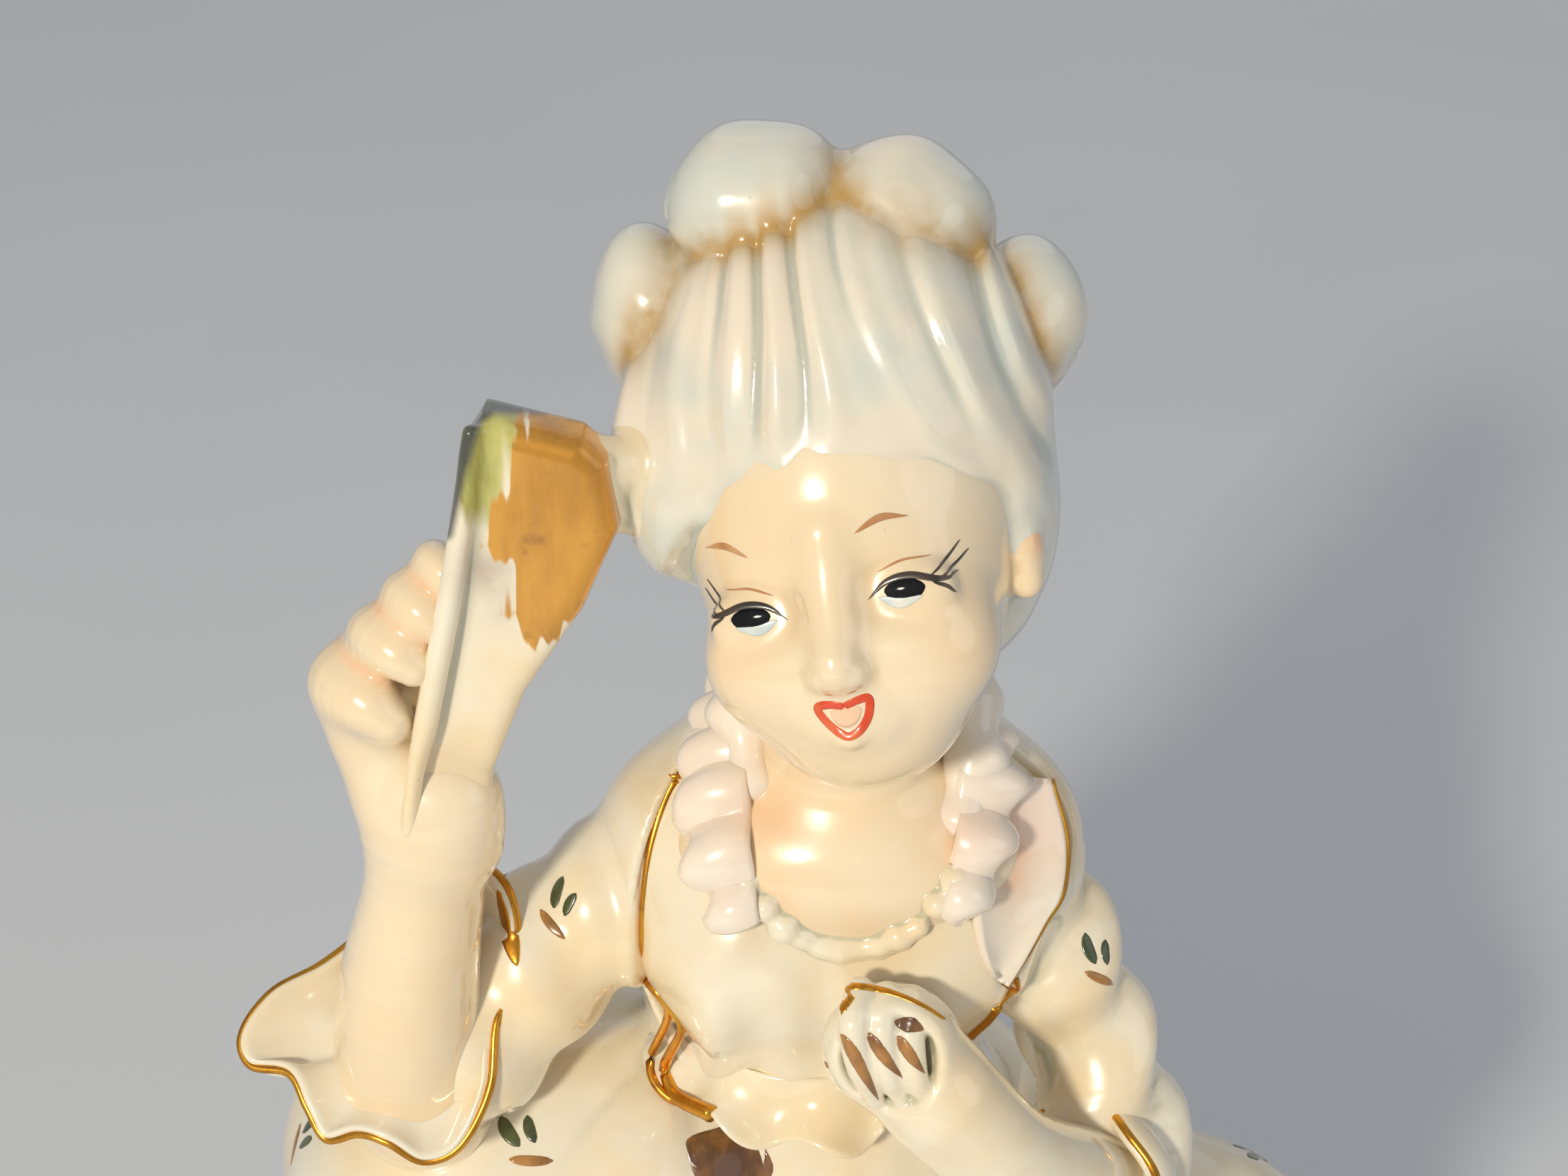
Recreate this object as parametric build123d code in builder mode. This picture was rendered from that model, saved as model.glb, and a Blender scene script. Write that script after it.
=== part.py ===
"""A porcelain lady in court dress, as the slip-cast pieces that a potter lutes together before firing.

Millimetres. +Z is up, the lady faces -Y, and the origin is under the middle of the base.
"Right" and "left" are the lady's own, so her raised right arm is on the -X side.
Each piece is trimmed by the pieces that it sits on, so neighbours meet face to face.
"""

import os
from math import cos, pi, radians, sin

from build123d import *

os.makedirs("parts", exist_ok=True)

# ---- driving dimensions -------------------------------------------------------------------
BASE_LENGTH, BASE_WIDTH, BASE_HEIGHT = 92.0, 80.0, 9.0
BASE_LOBES, LOBE_DEPTH = 12, 2.4  # a gently scalloped outline
FOOT_RING = 7.0  # width of the unglazed ring that the figure stands on
BASE_CAVITY_DEPTH = 5.0
DRAIN_RADIUS = 15.0  # the slip is poured out through the base

SKIRT_WALL = 3.0
WAIST_Z = 97.0
# rings of the skirt: height, half length in X, half width in Y, middle in Y
SKIRT_RINGS = (
    (BASE_HEIGHT, 37.0, 31.0, 0.0),
    (30.0, 35.0, 29.5, 0.0),
    (56.0, 28.0, 24.0, 0.0),
    (80.0, 17.5, 15.5, 0.5),
    (WAIST_Z, 9.0, 7.5, 1.0),
)
FLOUNCE_THICK, FLOUNCE_TOP = 1.6, 17.0
DRAPE_THICK, DRAPE_LOW, DRAPE_HIGH = 2.2, 22.0, 84.0
DRAPE_OPENING = 36.0  # half angle of the gap that shows the petticoat, in degrees
PANNIER_RADII = (15.0, 14.5, 12.0)
PANNIER_OUT = 18.5
PANNIER_Z = {-1: 87.5, 1: 73.5}  # the left one hangs lower, clear of the bent arm

TORSO_X = -0.3
TORSO_RINGS = (
    (94.0, 9.6, 8.2, 1.2),
    (100.0, 9.9, 8.6, 1.0),
    (105.0, 10.6, 9.2, 0.0),
    (109.0, 11.3, 9.7, -0.7),
    (113.0, 11.4, 8.8, -0.4),
    (116.5, 9.4, 6.6, -0.6),
    (118.5, 6.0, 4.6, -1.2),
)
TORSO_HOLLOW_RADIUS, TORSO_HOLLOW_TOP = 5.0, 108.0
APPLIQUE_THICK = 1.3  # panels laid on the bodice

BUST_RADII, BUST_CENTRE = (8.2, 5.8, 5.6), Vector(TORSO_X, -5.0, 114.3)
NECK_FOOT, NECK_TOP = Vector(TORSO_X, -2.4, 113.0), Vector(0.0, -4.2, 125.5)
NECK_FOOT_RADIUS, NECK_TOP_RADIUS = 5.0, 4.2

HEAD_CENTRE = (0.5, -4.6, 131.9)
HEAD_TILT = (-15.0, -10.0, -10.0)  # chin up, crown and face towards the raised hand
SKULL_RADII = (8.9, 9.6, 10.6)
JAW_RADII, JAW_AT = (5.6, 5.2, 5.0), (0.0, -3.9, -7.0)
HEAD_HOLLOW_RADIUS = 5.5
HAIR_RADII, HAIR_AT = (10.2, 9.6, 11.8), (0.2, 2.6, 6.4)

ROLL_ANGLES = (-115, -69, -23, 23, 69, 115)  # round the crown, from straight up, in degrees
ROLL_RING_CENTRE, ROLL_RING_RADIUS = (-0.5, 1.0, 139.4), 9.8
ROLL_SET_BACK = 6.0  # how far the lowest rolls stand behind the topmost
ROLL_RADII = (4.1, 4.2, 3.5)
CHIGNON_RADII, CHIGNON_CENTRE = (7.0, 5.0, 8.4), (-0.4, 7.4, 130.0)

COLLAR_CENTRE, COLLAR_TILT = (TORSO_X, -1.0, 117.0), (-24, 0, 0)
COLLAR_RADIUS, COLLAR_SECTION, COLLAR_OPENING = 8.6, 1.7, 100  # opening in degrees, at the front

# outlines on the bodice's front, as (offset from its middle, height)
NECKLINE = ((-7.6, 115.0), (-4.6, 112.4), (0.0, 111.3), (4.6, 112.4), (7.6, 115.0))
NECKLINE_HEIGHT = 1.7
STOMACHER = ((-6.2, 109.6), (6.2, 109.6), (5.2, 100.0), (3.6, 94.6), (-3.6, 94.6), (-5.2, 100.0))
LAPEL = ((7.0, 116.6), (11.0, 114.0), (12.6, 108.0), (10.4, 98.0), (5.6, 97.0), (6.6, 108.0))

SLEEVE_SHOULDER, SLEEVE_SHOULDER_RADIUS = (-11.2, -1.4, 110.4), 4.7
SLEEVE_ELBOW, SLEEVE_ELBOW_RADIUS = (-20.2, -5.4, 102.6), 5.3
RAISED_ELBOW, RAISED_ELBOW_RADIUS = (-22.4, -7.8, 101.6), 4.1
RAISED_WRIST, RAISED_WRIST_RADIUS = (-21.3, -8.2, 118.4), 3.4
RAISED_HAND, RAISED_HAND_RADII, RAISED_HAND_TILT = (-22.0, -8.6, 123.4), (4.4, 3.3, 5.4), (0, 12, 0)
RAISED_CUFF_AXIS = (-0.55, -0.5, 0.67)

LEFT_SHOULDER, LEFT_SHOULDER_RADIUS = (9.8, -1.2, 109.8), 4.8
LEFT_ELBOW, LEFT_ELBOW_RADIUS = (15.6, -4.6, 93.8), 5.7
LEFT_WRIST, LEFT_WRIST_RADIUS = (6.2, -14.2, 102.6), 2.6
LEFT_HAND, LEFT_HAND_RADII, LEFT_HAND_TILT = (2.7, -13.6, 107.0), (3.5, 2.4, 4.0), (0, -28, 0)
LEFT_CUFF_AXIS = (-0.72, -0.56, 0.42)

CUFF_LENGTH, CUFF_WALL = 5.0, 1.2
CUFF_ROOT_RADIUS, CUFF_RIM_RADIUS = 5.2, 8.2

# the closed fan's outline as (x, z), and its front and back
FAN = ((-22.4, 120.8), (-17.4, 141.0), (-11.4, 139.8), (-10.8, 134.6), (-16.8, 124.4))
FAN_FRONT, FAN_BACK, FAN_CORNER = 9.4, 5.4, 0.9
STAY_START, STAY_END, STAY_RADIUS = (-13.0, -6.6, 136.9), (-7.0, -5.0, 136.2), 1.3


def ellipsoid(radii, centre, tilt=(0, 0, 0)):
    """An ellipsoid with the given half axes, turned by tilt about its own centre."""
    with BuildPart(mode=Mode.PRIVATE) as solid:
        Sphere(1)
        scale(by=radii)
    return Location(tuple(centre), tilt) * solid.part


def on_head(radii, offset):
    """An ellipsoid placed in the head's own tilted frame."""
    return Location(HEAD_CENTRE, HEAD_TILT) * ellipsoid(radii, offset)


def limb(start, end, start_radius, end_radius):
    """A tapered limb with round ends."""
    axis = Vector(*end) - Vector(*start)
    with BuildPart(Plane(origin=start, z_dir=axis), mode=Mode.PRIVATE) as solid:
        Cone(start_radius, end_radius, axis.length, align=(Align.CENTER, Align.CENTER, Align.MIN))
        Sphere(start_radius)
        with Locations((0, 0, axis.length)):
            Sphere(end_radius)
    return solid.part


def lofted(rings, grow=0.0, centre_x=0.0):
    """A solid lofted through ellipses given as (height, half length, half width, middle in Y)."""
    with BuildPart(mode=Mode.PRIVATE) as solid:
        for height, half_length, half_width, centre_y in rings:
            with BuildSketch(Plane.XY.offset(height)):
                with Locations((centre_x, centre_y)):
                    Ellipse(half_length + grow, half_width + grow)
        loft()
    return solid.part


def front_prism(corners, front, back, corner_radius=0.0):
    """A slab between two depths in front of the X-Z plane, from a closed outline of (x, z) corners."""
    with BuildPart(mode=Mode.PRIVATE) as solid:
        with BuildSketch(Plane.XZ.offset(back)) as face:
            with BuildLine():
                Polyline(*corners, close=True)
            make_face()
            if corner_radius:
                fillet(face.vertices(), corner_radius)
        extrude(amount=front - back)
    return solid.part


def trimmed(form, *neighbours):
    """The form with every neighbour cut away."""
    with BuildPart(mode=Mode.PRIVATE) as solid:
        add(form)
        for neighbour in neighbours:
            add(neighbour, mode=Mode.SUBTRACT)
    return solid.part


def largest(part):
    """The biggest of the pieces that trimming left."""
    return part.solids().sort_by(SortBy.VOLUME)[-1]


def funnel(root, axis):
    """A flared cuff: a thin cone that opens along the axis from its root."""
    with BuildPart(Plane(origin=root, z_dir=axis), mode=Mode.PRIVATE) as solid:
        seat = (Align.CENTER, Align.CENTER, Align.MIN)
        Cone(CUFF_ROOT_RADIUS, CUFF_RIM_RADIUS, CUFF_LENGTH, align=seat)
        inside = CUFF_ROOT_RADIUS - CUFF_WALL, CUFF_RIM_RADIUS - CUFF_WALL
        Cone(*inside, CUFF_LENGTH, align=seat, mode=Mode.SUBTRACT)
    return solid.part


def save(piece, name):
    """Labels one finished piece and writes its STEP file."""
    piece.part.label = name
    export_step(piece.part, f"parts/{name}.step")


# ---- base ---------------------------------------------------------------------------------
def lobed(angle):
    """A point of the base's scalloped oval at this angle."""
    dip = LOBE_DEPTH * (1 - cos(BASE_LOBES * angle)) / 2
    return (BASE_LENGTH / 2 - dip) * cos(angle), (BASE_WIDTH / 2 - dip) * sin(angle)


OUTLINE_POINTS = 6 * BASE_LOBES
outline = [lobed(2 * pi * i / OUTLINE_POINTS) for i in range(OUTLINE_POINTS)]

with BuildPart() as base_plinth:
    with BuildSketch():
        with BuildLine():
            Spline(*outline, periodic=True)
        make_face()
    extrude(amount=BASE_HEIGHT)
    with BuildSketch():
        Ellipse(BASE_LENGTH / 2 - FOOT_RING, BASE_WIDTH / 2 - FOOT_RING)
    extrude(amount=BASE_CAVITY_DEPTH, mode=Mode.SUBTRACT)
    with BuildSketch():
        Circle(DRAIN_RADIUS)
    extrude(amount=BASE_HEIGHT, mode=Mode.SUBTRACT)
save(base_plinth, "base_plinth")

# ---- skirt --------------------------------------------------------------------------------
skirt_form = lofted(SKIRT_RINGS)
cavity_rings = [(z, a - SKIRT_WALL, b - SKIRT_WALL, y) for z, a, b, y in SKIRT_RINGS]
cavity_rings[-1] = (WAIST_Z + 0.1, TORSO_HOLLOW_RADIUS, TORSO_HOLLOW_RADIUS, 1.0)

with BuildPart() as skirt_shell:
    add(skirt_form)
    add(lofted(cavity_rings), mode=Mode.SUBTRACT)
save(skirt_shell, "skirt_shell")

flounce_form = lofted(SKIRT_RINGS, FLOUNCE_THICK)
with BuildPart() as hem_flounce:
    add(flounce_form)
    with Locations((0, 0, FLOUNCE_TOP)):
        Box(120, 120, 100, align=(Align.CENTER, Align.CENTER, Align.MIN), mode=Mode.SUBTRACT)
    add(skirt_form, mode=Mode.SUBTRACT)
save(hem_flounce, "hem_flounce")

drape_form = lofted(SKIRT_RINGS, DRAPE_THICK)
edge_x, edge_y = 100 * sin(radians(DRAPE_OPENING)), -100 * cos(radians(DRAPE_OPENING))
drapes = {}
for side, name in ((-1, "right_drape"), (1, "left_drape")):
    with BuildPart() as drape:
        with BuildSketch(Plane.XY.offset(DRAPE_LOW)):
            with BuildLine():
                front_edge, beside, behind = (side * edge_x, edge_y), (side * 100, 0), (side * 100, 100)
                Polyline((0, 0), front_edge, beside, behind, (0, 100), close=True)
            make_face()
        extrude(amount=DRAPE_HIGH - DRAPE_LOW)
        add(drape_form, mode=Mode.INTERSECT)
        add(skirt_form, mode=Mode.SUBTRACT)
    save(drape, name)
    drapes[side] = drape.part

# ---- bust and head ------------------------------------------------------------------------
bust_form = ellipsoid(BUST_RADII, BUST_CENTRE)
neck_form = limb(NECK_FOOT, NECK_TOP, NECK_FOOT_RADIUS, NECK_TOP_RADIUS)
with BuildPart() as bust:
    add(bust_form)
    add(neck_form)
save(bust, "bust")

skull_form, jaw_form = on_head(SKULL_RADII, (0, 0, 0)), on_head(JAW_RADII, JAW_AT)
with BuildPart() as head:
    add(skull_form)
    add(jaw_form)
    add(on_head((HEAD_HOLLOW_RADIUS,) * 3, (0, 0, 1)), mode=Mode.SUBTRACT)
    add(bust.part, mode=Mode.SUBTRACT)
save(head, "head")

hair_form = on_head(HAIR_RADII, HAIR_AT)
with BuildPart() as hair_crown:
    add(hair_form)
    add(skull_form, mode=Mode.SUBTRACT)
    add(jaw_form, mode=Mode.SUBTRACT)
    add(bust.part, mode=Mode.SUBTRACT)
save(hair_crown, "hair_crown")

rolls = []
for number, angle in enumerate(ROLL_ANGLES, start=1):
    back = ROLL_SET_BACK * (angle / max(ROLL_ANGLES)) ** 2
    spot = Vector(*ROLL_RING_CENTRE) + Vector(
        ROLL_RING_RADIUS * sin(radians(angle)), back, ROLL_RING_RADIUS * cos(radians(angle))
    )
    curl = ellipsoid(ROLL_RADII, spot, (0, angle, 0))
    with BuildPart() as roll:
        add(curl)
        for under in (hair_form, skull_form, *rolls):
            add(under, mode=Mode.SUBTRACT)
    save(roll, f"hair_roll_{number}")
    rolls.append(curl)

with BuildPart() as chignon:
    add(ellipsoid(CHIGNON_RADII, CHIGNON_CENTRE))
    for under in (hair_form, skull_form, jaw_form, bust.part, *rolls):
        add(under, mode=Mode.SUBTRACT)
save(chignon, "chignon")

# ---- bodice -------------------------------------------------------------------------------
bodice_form = lofted(TORSO_RINGS, centre_x=TORSO_X)
with BuildPart() as bodice:
    add(bodice_form)
    with Locations((0, 1, WAIST_Z - 10)):
        Cylinder(
            TORSO_HOLLOW_RADIUS,
            TORSO_HOLLOW_TOP - WAIST_Z + 10,
            align=(Align.CENTER, Align.CENTER, Align.MIN),
            mode=Mode.SUBTRACT,
        )
    add(skirt_form, mode=Mode.SUBTRACT)
    add(bust.part, mode=Mode.SUBTRACT)
save(bodice, "bodice")

panniers = []
for side, name in ((-1, "right_pannier"), (1, "left_pannier")):
    puff = ellipsoid(PANNIER_RADII, (side * PANNIER_OUT, 0, PANNIER_Z[side]))
    with BuildPart() as pannier:
        add(puff)
        for under in (skirt_form, bodice_form, drapes[side]):
            add(under, mode=Mode.SUBTRACT)
    save(pannier, name)
    panniers.append(pannier.part)

applique_form = lofted(TORSO_RINGS, APPLIQUE_THICK, TORSO_X)
under_panels = (bodice_form, skirt_form, bust.part, *panniers)
stomacher_outline = [(TORSO_X + x, z) for x, z in STOMACHER]
with BuildPart() as stomacher:
    add(front_prism(stomacher_outline, 30, 2))
    add(applique_form, mode=Mode.INTERSECT)
    for under in under_panels:
        add(under, mode=Mode.SUBTRACT)
save(stomacher, "stomacher")

lapels = []
for side, name in ((-1, "right_lapel"), (1, "left_lapel")):
    with BuildPart() as lapel:
        add(front_prism([(TORSO_X + side * x, z) for x, z in LAPEL], 30, 0))
        add(applique_form, mode=Mode.INTERSECT)
        for under in (*under_panels, stomacher.part):
            add(under, mode=Mode.SUBTRACT)
    save(lapel, name)
    lapels.append(lapel.part)

neckline_top = [(TORSO_X + x, z) for x, z in NECKLINE]
neckline_foot = [(x, z - NECKLINE_HEIGHT) for x, z in reversed(neckline_top)]
with BuildPart() as neckline_edging:
    add(front_prism(neckline_top + neckline_foot, 30, 2))
    add(applique_form, mode=Mode.INTERSECT)
    for under in (bodice_form, bust.part, stomacher.part, *lapels):
        add(under, mode=Mode.SUBTRACT)
save(neckline_edging, "neckline_edging")

with BuildPart() as collar_frill:
    with Locations(Location(COLLAR_CENTRE, COLLAR_TILT)):
        with Locations(Rotation(0, 0, -90 + COLLAR_OPENING / 2)):
            Torus(COLLAR_RADIUS, COLLAR_SECTION, major_angle=360 - COLLAR_OPENING)
    for under in (bodice_form, bust.part, head.part, hair_crown.part, chignon.part, *lapels):
        add(under, mode=Mode.SUBTRACT)
    add(neckline_edging.part, mode=Mode.SUBTRACT)
save(collar_frill, "collar_frill")

# ---- arms ---------------------------------------------------------------------------------
torso_parts = (skirt_form, bodice_form, bust.part, *lapels, stomacher.part, collar_frill.part, *panniers)

right_sleeve_form = limb(SLEEVE_SHOULDER, SLEEVE_ELBOW, SLEEVE_SHOULDER_RADIUS, SLEEVE_ELBOW_RADIUS)
with BuildPart() as right_sleeve:
    add(trimmed(right_sleeve_form, *torso_parts))
save(right_sleeve, "right_sleeve")

raised_arm_form = limb(RAISED_ELBOW, RAISED_WRIST, RAISED_ELBOW_RADIUS, RAISED_WRIST_RADIUS)
with BuildPart() as right_forearm:
    add(trimmed(raised_arm_form, right_sleeve_form, *panniers))
save(right_forearm, "right_forearm")

with BuildPart() as right_cuff:
    flare = funnel(RAISED_ELBOW, RAISED_CUFF_AXIS)
    add(largest(trimmed(flare, right_sleeve_form, raised_arm_form, *torso_parts)))
save(right_cuff, "right_cuff")

fan_form = front_prism(FAN, FAN_FRONT, FAN_BACK, FAN_CORNER)
with BuildPart() as fan:
    add(trimmed(fan_form, raised_arm_form, hair_form, skull_form, *rolls))
save(fan, "fan")

with BuildPart() as right_hand:
    hand_form = ellipsoid(RAISED_HAND_RADII, RAISED_HAND, RAISED_HAND_TILT)
    add(trimmed(hand_form, raised_arm_form, fan.part))
save(right_hand, "right_hand")

with BuildPart() as fan_stay:
    stay_form = limb(STAY_START, STAY_END, STAY_RADIUS, STAY_RADIUS + 0.2)
    add(trimmed(stay_form, fan.part, hair_form, skull_form, *rolls))
save(fan_stay, "fan_stay")

left_sleeve_form = limb(LEFT_SHOULDER, LEFT_ELBOW, LEFT_SHOULDER_RADIUS, LEFT_ELBOW_RADIUS)
with BuildPart() as left_sleeve:
    add(trimmed(left_sleeve_form, *torso_parts))
save(left_sleeve, "left_sleeve")

left_arm_form = limb(LEFT_ELBOW, LEFT_WRIST, LEFT_WRIST_RADIUS + 1.2, LEFT_WRIST_RADIUS)
with BuildPart() as left_forearm:
    add(trimmed(left_arm_form, left_sleeve_form, *torso_parts))
save(left_forearm, "left_forearm")

cuff_root = Vector(*LEFT_ELBOW) + Vector(*LEFT_CUFF_AXIS) * 3
with BuildPart() as left_cuff:
    flare = funnel(cuff_root, LEFT_CUFF_AXIS)
    add(largest(trimmed(flare, left_sleeve_form, left_arm_form, *torso_parts)))
save(left_cuff, "left_cuff")

with BuildPart() as left_hand:
    hand_form = ellipsoid(LEFT_HAND_RADII, LEFT_HAND, LEFT_HAND_TILT)
    add(trimmed(hand_form, left_arm_form, left_cuff.part, neckline_edging.part, *torso_parts))
save(left_hand, "left_hand")
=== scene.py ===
"""Glazed porcelain lady in court dress: the looks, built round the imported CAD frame.

Sculpted pieces are fields of distance, in millimetres, meshed and then drawn onto their own surface.
+Z is up, the lady faces -Y, and "right" and "left" are her own.
"""

from math import cos, pi, radians, sin

import bpy
import numpy as np
import openvdb
from mathutils import Matrix, Vector
from mathutils.bvhtree import BVHTree


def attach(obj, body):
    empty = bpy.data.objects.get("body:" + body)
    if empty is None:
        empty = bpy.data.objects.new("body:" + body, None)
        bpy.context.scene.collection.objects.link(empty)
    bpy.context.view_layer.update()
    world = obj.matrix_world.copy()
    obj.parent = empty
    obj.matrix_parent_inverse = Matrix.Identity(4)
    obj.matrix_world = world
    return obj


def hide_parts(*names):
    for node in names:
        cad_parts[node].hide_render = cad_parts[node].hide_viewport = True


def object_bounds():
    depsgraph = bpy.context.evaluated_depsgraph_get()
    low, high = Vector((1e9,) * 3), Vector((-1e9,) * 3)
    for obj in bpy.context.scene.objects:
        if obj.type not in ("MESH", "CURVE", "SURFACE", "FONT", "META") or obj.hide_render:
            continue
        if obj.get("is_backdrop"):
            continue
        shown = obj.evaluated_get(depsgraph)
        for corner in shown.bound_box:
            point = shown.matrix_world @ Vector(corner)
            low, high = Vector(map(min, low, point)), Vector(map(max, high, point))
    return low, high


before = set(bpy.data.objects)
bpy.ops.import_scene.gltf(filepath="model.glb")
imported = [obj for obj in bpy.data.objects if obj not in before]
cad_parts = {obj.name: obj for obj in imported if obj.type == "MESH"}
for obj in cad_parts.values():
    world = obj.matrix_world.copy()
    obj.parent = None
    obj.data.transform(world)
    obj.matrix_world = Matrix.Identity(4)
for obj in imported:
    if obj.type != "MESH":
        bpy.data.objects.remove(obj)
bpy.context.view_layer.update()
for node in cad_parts.values():
    node.data.materials.clear()

MM = 0.001
surfaces = {}  # piece name to (points, faces) in millimetres, for drawing on


def vec(*xyz):
    return np.array(xyz, np.float32)


def turn(x=0, y=0, z=0):
    """Rotation matrix for turns about X, then Y, then Z of the turned frame, in degrees."""
    m = Matrix.Identity(3)
    for angle, axis in ((x, "X"), (y, "Y"), (z, "Z")):
        m = m @ Matrix.Rotation(radians(angle), 3, axis)
    return np.array(m, np.float32)


# ---- fields -------------------------------------------------------------------------------
def egg(centre, radii, axes=None):
    centre, radii = vec(*centre), np.float32(1) * vec(*np.broadcast_to(radii, 3))

    def field(p):
        q = p - centre
        if axes is not None:
            q = q @ axes
        k0 = np.sqrt(((q / radii) ** 2).sum(1))
        k1 = np.sqrt(((q / radii**2) ** 2).sum(1))
        return k0 * (k0 - 1) / np.maximum(k1, 1e-5)

    return field


def smooth_path(points, steps):
    """Points along a smooth curve through the given rows, which may hold more than three numbers."""
    rows = np.array(points, np.float32)
    padded = np.vstack([2 * rows[0] - rows[1], rows, 2 * rows[-1] - rows[-2]])
    out = []
    for i in range(1, len(padded) - 2):
        a, b, c, d = padded[i - 1 : i + 3]
        for t in np.linspace(0, 1, steps, endpoint=False):
            out.append(
                0.5
                * (
                    2 * b + (c - a) * t + (2 * a - 5 * b + 4 * c - d) * t**2
                    + (3 * b - a - 3 * c + d) * t**3
                )
            )
    out.append(rows[-1])
    return np.array(out, np.float32)


def loop_path(points, steps):
    """Points along a smooth closed curve through the given rows."""
    rows = np.array(points, np.float32)
    n = len(rows)
    out = []
    for i in range(n):
        a, b, c, d = rows[i - 1], rows[i], rows[(i + 1) % n], rows[(i + 2) % n]
        for t in np.linspace(0, 1, steps, endpoint=False):
            out.append(
                0.5
                * (
                    2 * b + (c - a) * t + (2 * a - 5 * b + 4 * c - d) * t**2
                    + (3 * b - a - 3 * c + d) * t**3
                )
            )
    return np.array(out, np.float32)


def limb(points, steps=4):
    """A tube through (x, y, z, radius) rows."""
    path = smooth_path(points, steps)

    def field(p):
        best = np.full(len(p), 1e3, np.float32)
        for a, b in zip(path, path[1:]):
            along = b[:3] - a[:3]
            t = np.clip((p - a[:3]) @ along / max(float(along @ along), 1e-6), 0, 1)
            d = np.sqrt(((p - a[:3] - t[:, None] * along) ** 2).sum(1)) - (a[3] + (b[3] - a[3]) * t)
            best = np.minimum(best, d)
        return best

    return field


def bell(rings, round_top=1.5):
    """A solid of oval rings, rounded at both ends: (height, half sizes in X and Y, middles in Y and X)."""
    rows = np.array(rings, np.float32)

    def field(p):
        z = np.clip(p[:, 2], rows[0, 0], rows[-1, 0])
        a, b, back, side = (np.interp(z, rows[:, 0], rows[:, i]).astype(np.float32) for i in (1, 2, 3, 4))
        x, y = p[:, 0] - side, p[:, 1] - back
        k0 = np.sqrt((x / a) ** 2 + (y / b) ** 2)
        k1 = np.sqrt((x / a**2) ** 2 + (y / b**2) ** 2)
        side = k0 * (k0 - 1) / np.maximum(k1, 1e-5)
        ends = np.maximum(rows[0, 0] - p[:, 2], p[:, 2] - rows[-1, 0])
        return smooth_max(side, ends, round_top)

    return field


def fine_rings(rings, steps=6):
    return smooth_path(rings, steps)


def smooth_min(a, b, k):
    h = np.clip(0.5 + 0.5 * (b - a) / k, 0, 1)
    return b + (a - b) * h - k * h * (1 - h)


def smooth_max(a, b, k):
    return -smooth_min(-a, -b, k)


def blend(k, *fields):
    """One solid from several, with fillets of about k."""

    def field(p):
        d = fields[0](p)
        for other in fields[1:]:
            d = smooth_min(d, other(p), k)
        return d

    return field


def carve(k, solid, *tools):
    def field(p):
        d = solid(p)
        for tool in tools:
            d = smooth_max(d, -tool(p), k)
        return d

    return field


def meet(k, *fields):
    def field(p):
        d = fields[0](p)
        for other in fields[1:]:
            d = smooth_max(d, other(p), k)
        return d

    return field


def grow(solid, amount):
    """The solid grown by a number of millimetres, or by a function of the points."""
    return lambda p: solid(p) - (amount(p) if callable(amount) else amount)


def seated(solid, k, *neighbours, reach=2.2, under=0.07):
    """The solid with a fillet of glaze that runs onto its neighbours and stops just under their surface."""

    def field(p):
        own = solid(p)
        near = neighbours[0](p)
        for other in neighbours[1:]:
            near = np.minimum(near, other(p))
        return np.maximum(smooth_min(own, near + under, k), own - reach)

    return field


def slope(field, p, step=0.05):
    g = np.stack([field(p + step * e) - field(p - step * e) for e in np.eye(3, dtype=np.float32)], 1)
    return g / (2 * step)


# ---- meshes -------------------------------------------------------------------------------
def put(name, points, faces, material, smooth=True, **marks):
    """A mesh object from points in millimetres, with a float attribute for each mark."""
    mesh = bpy.data.meshes.new(name)
    mesh.from_pydata((np.asarray(points, float) * MM).tolist(), [], [tuple(int(i) for i in f) for f in faces])
    mesh.polygons.foreach_set("use_smooth", [smooth] * len(mesh.polygons))
    for mark, values in marks.items():
        mesh.attributes.new(mark, "FLOAT", "POINT").data.foreach_set("value", np.asarray(values, np.float32))
    mesh.materials.append(material)
    piece = bpy.data.objects.new(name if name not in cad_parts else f"{name}_china", mesh)
    bpy.context.scene.collection.objects.link(piece)
    surfaces[name] = (np.asarray(points, float), faces)
    return piece


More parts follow.
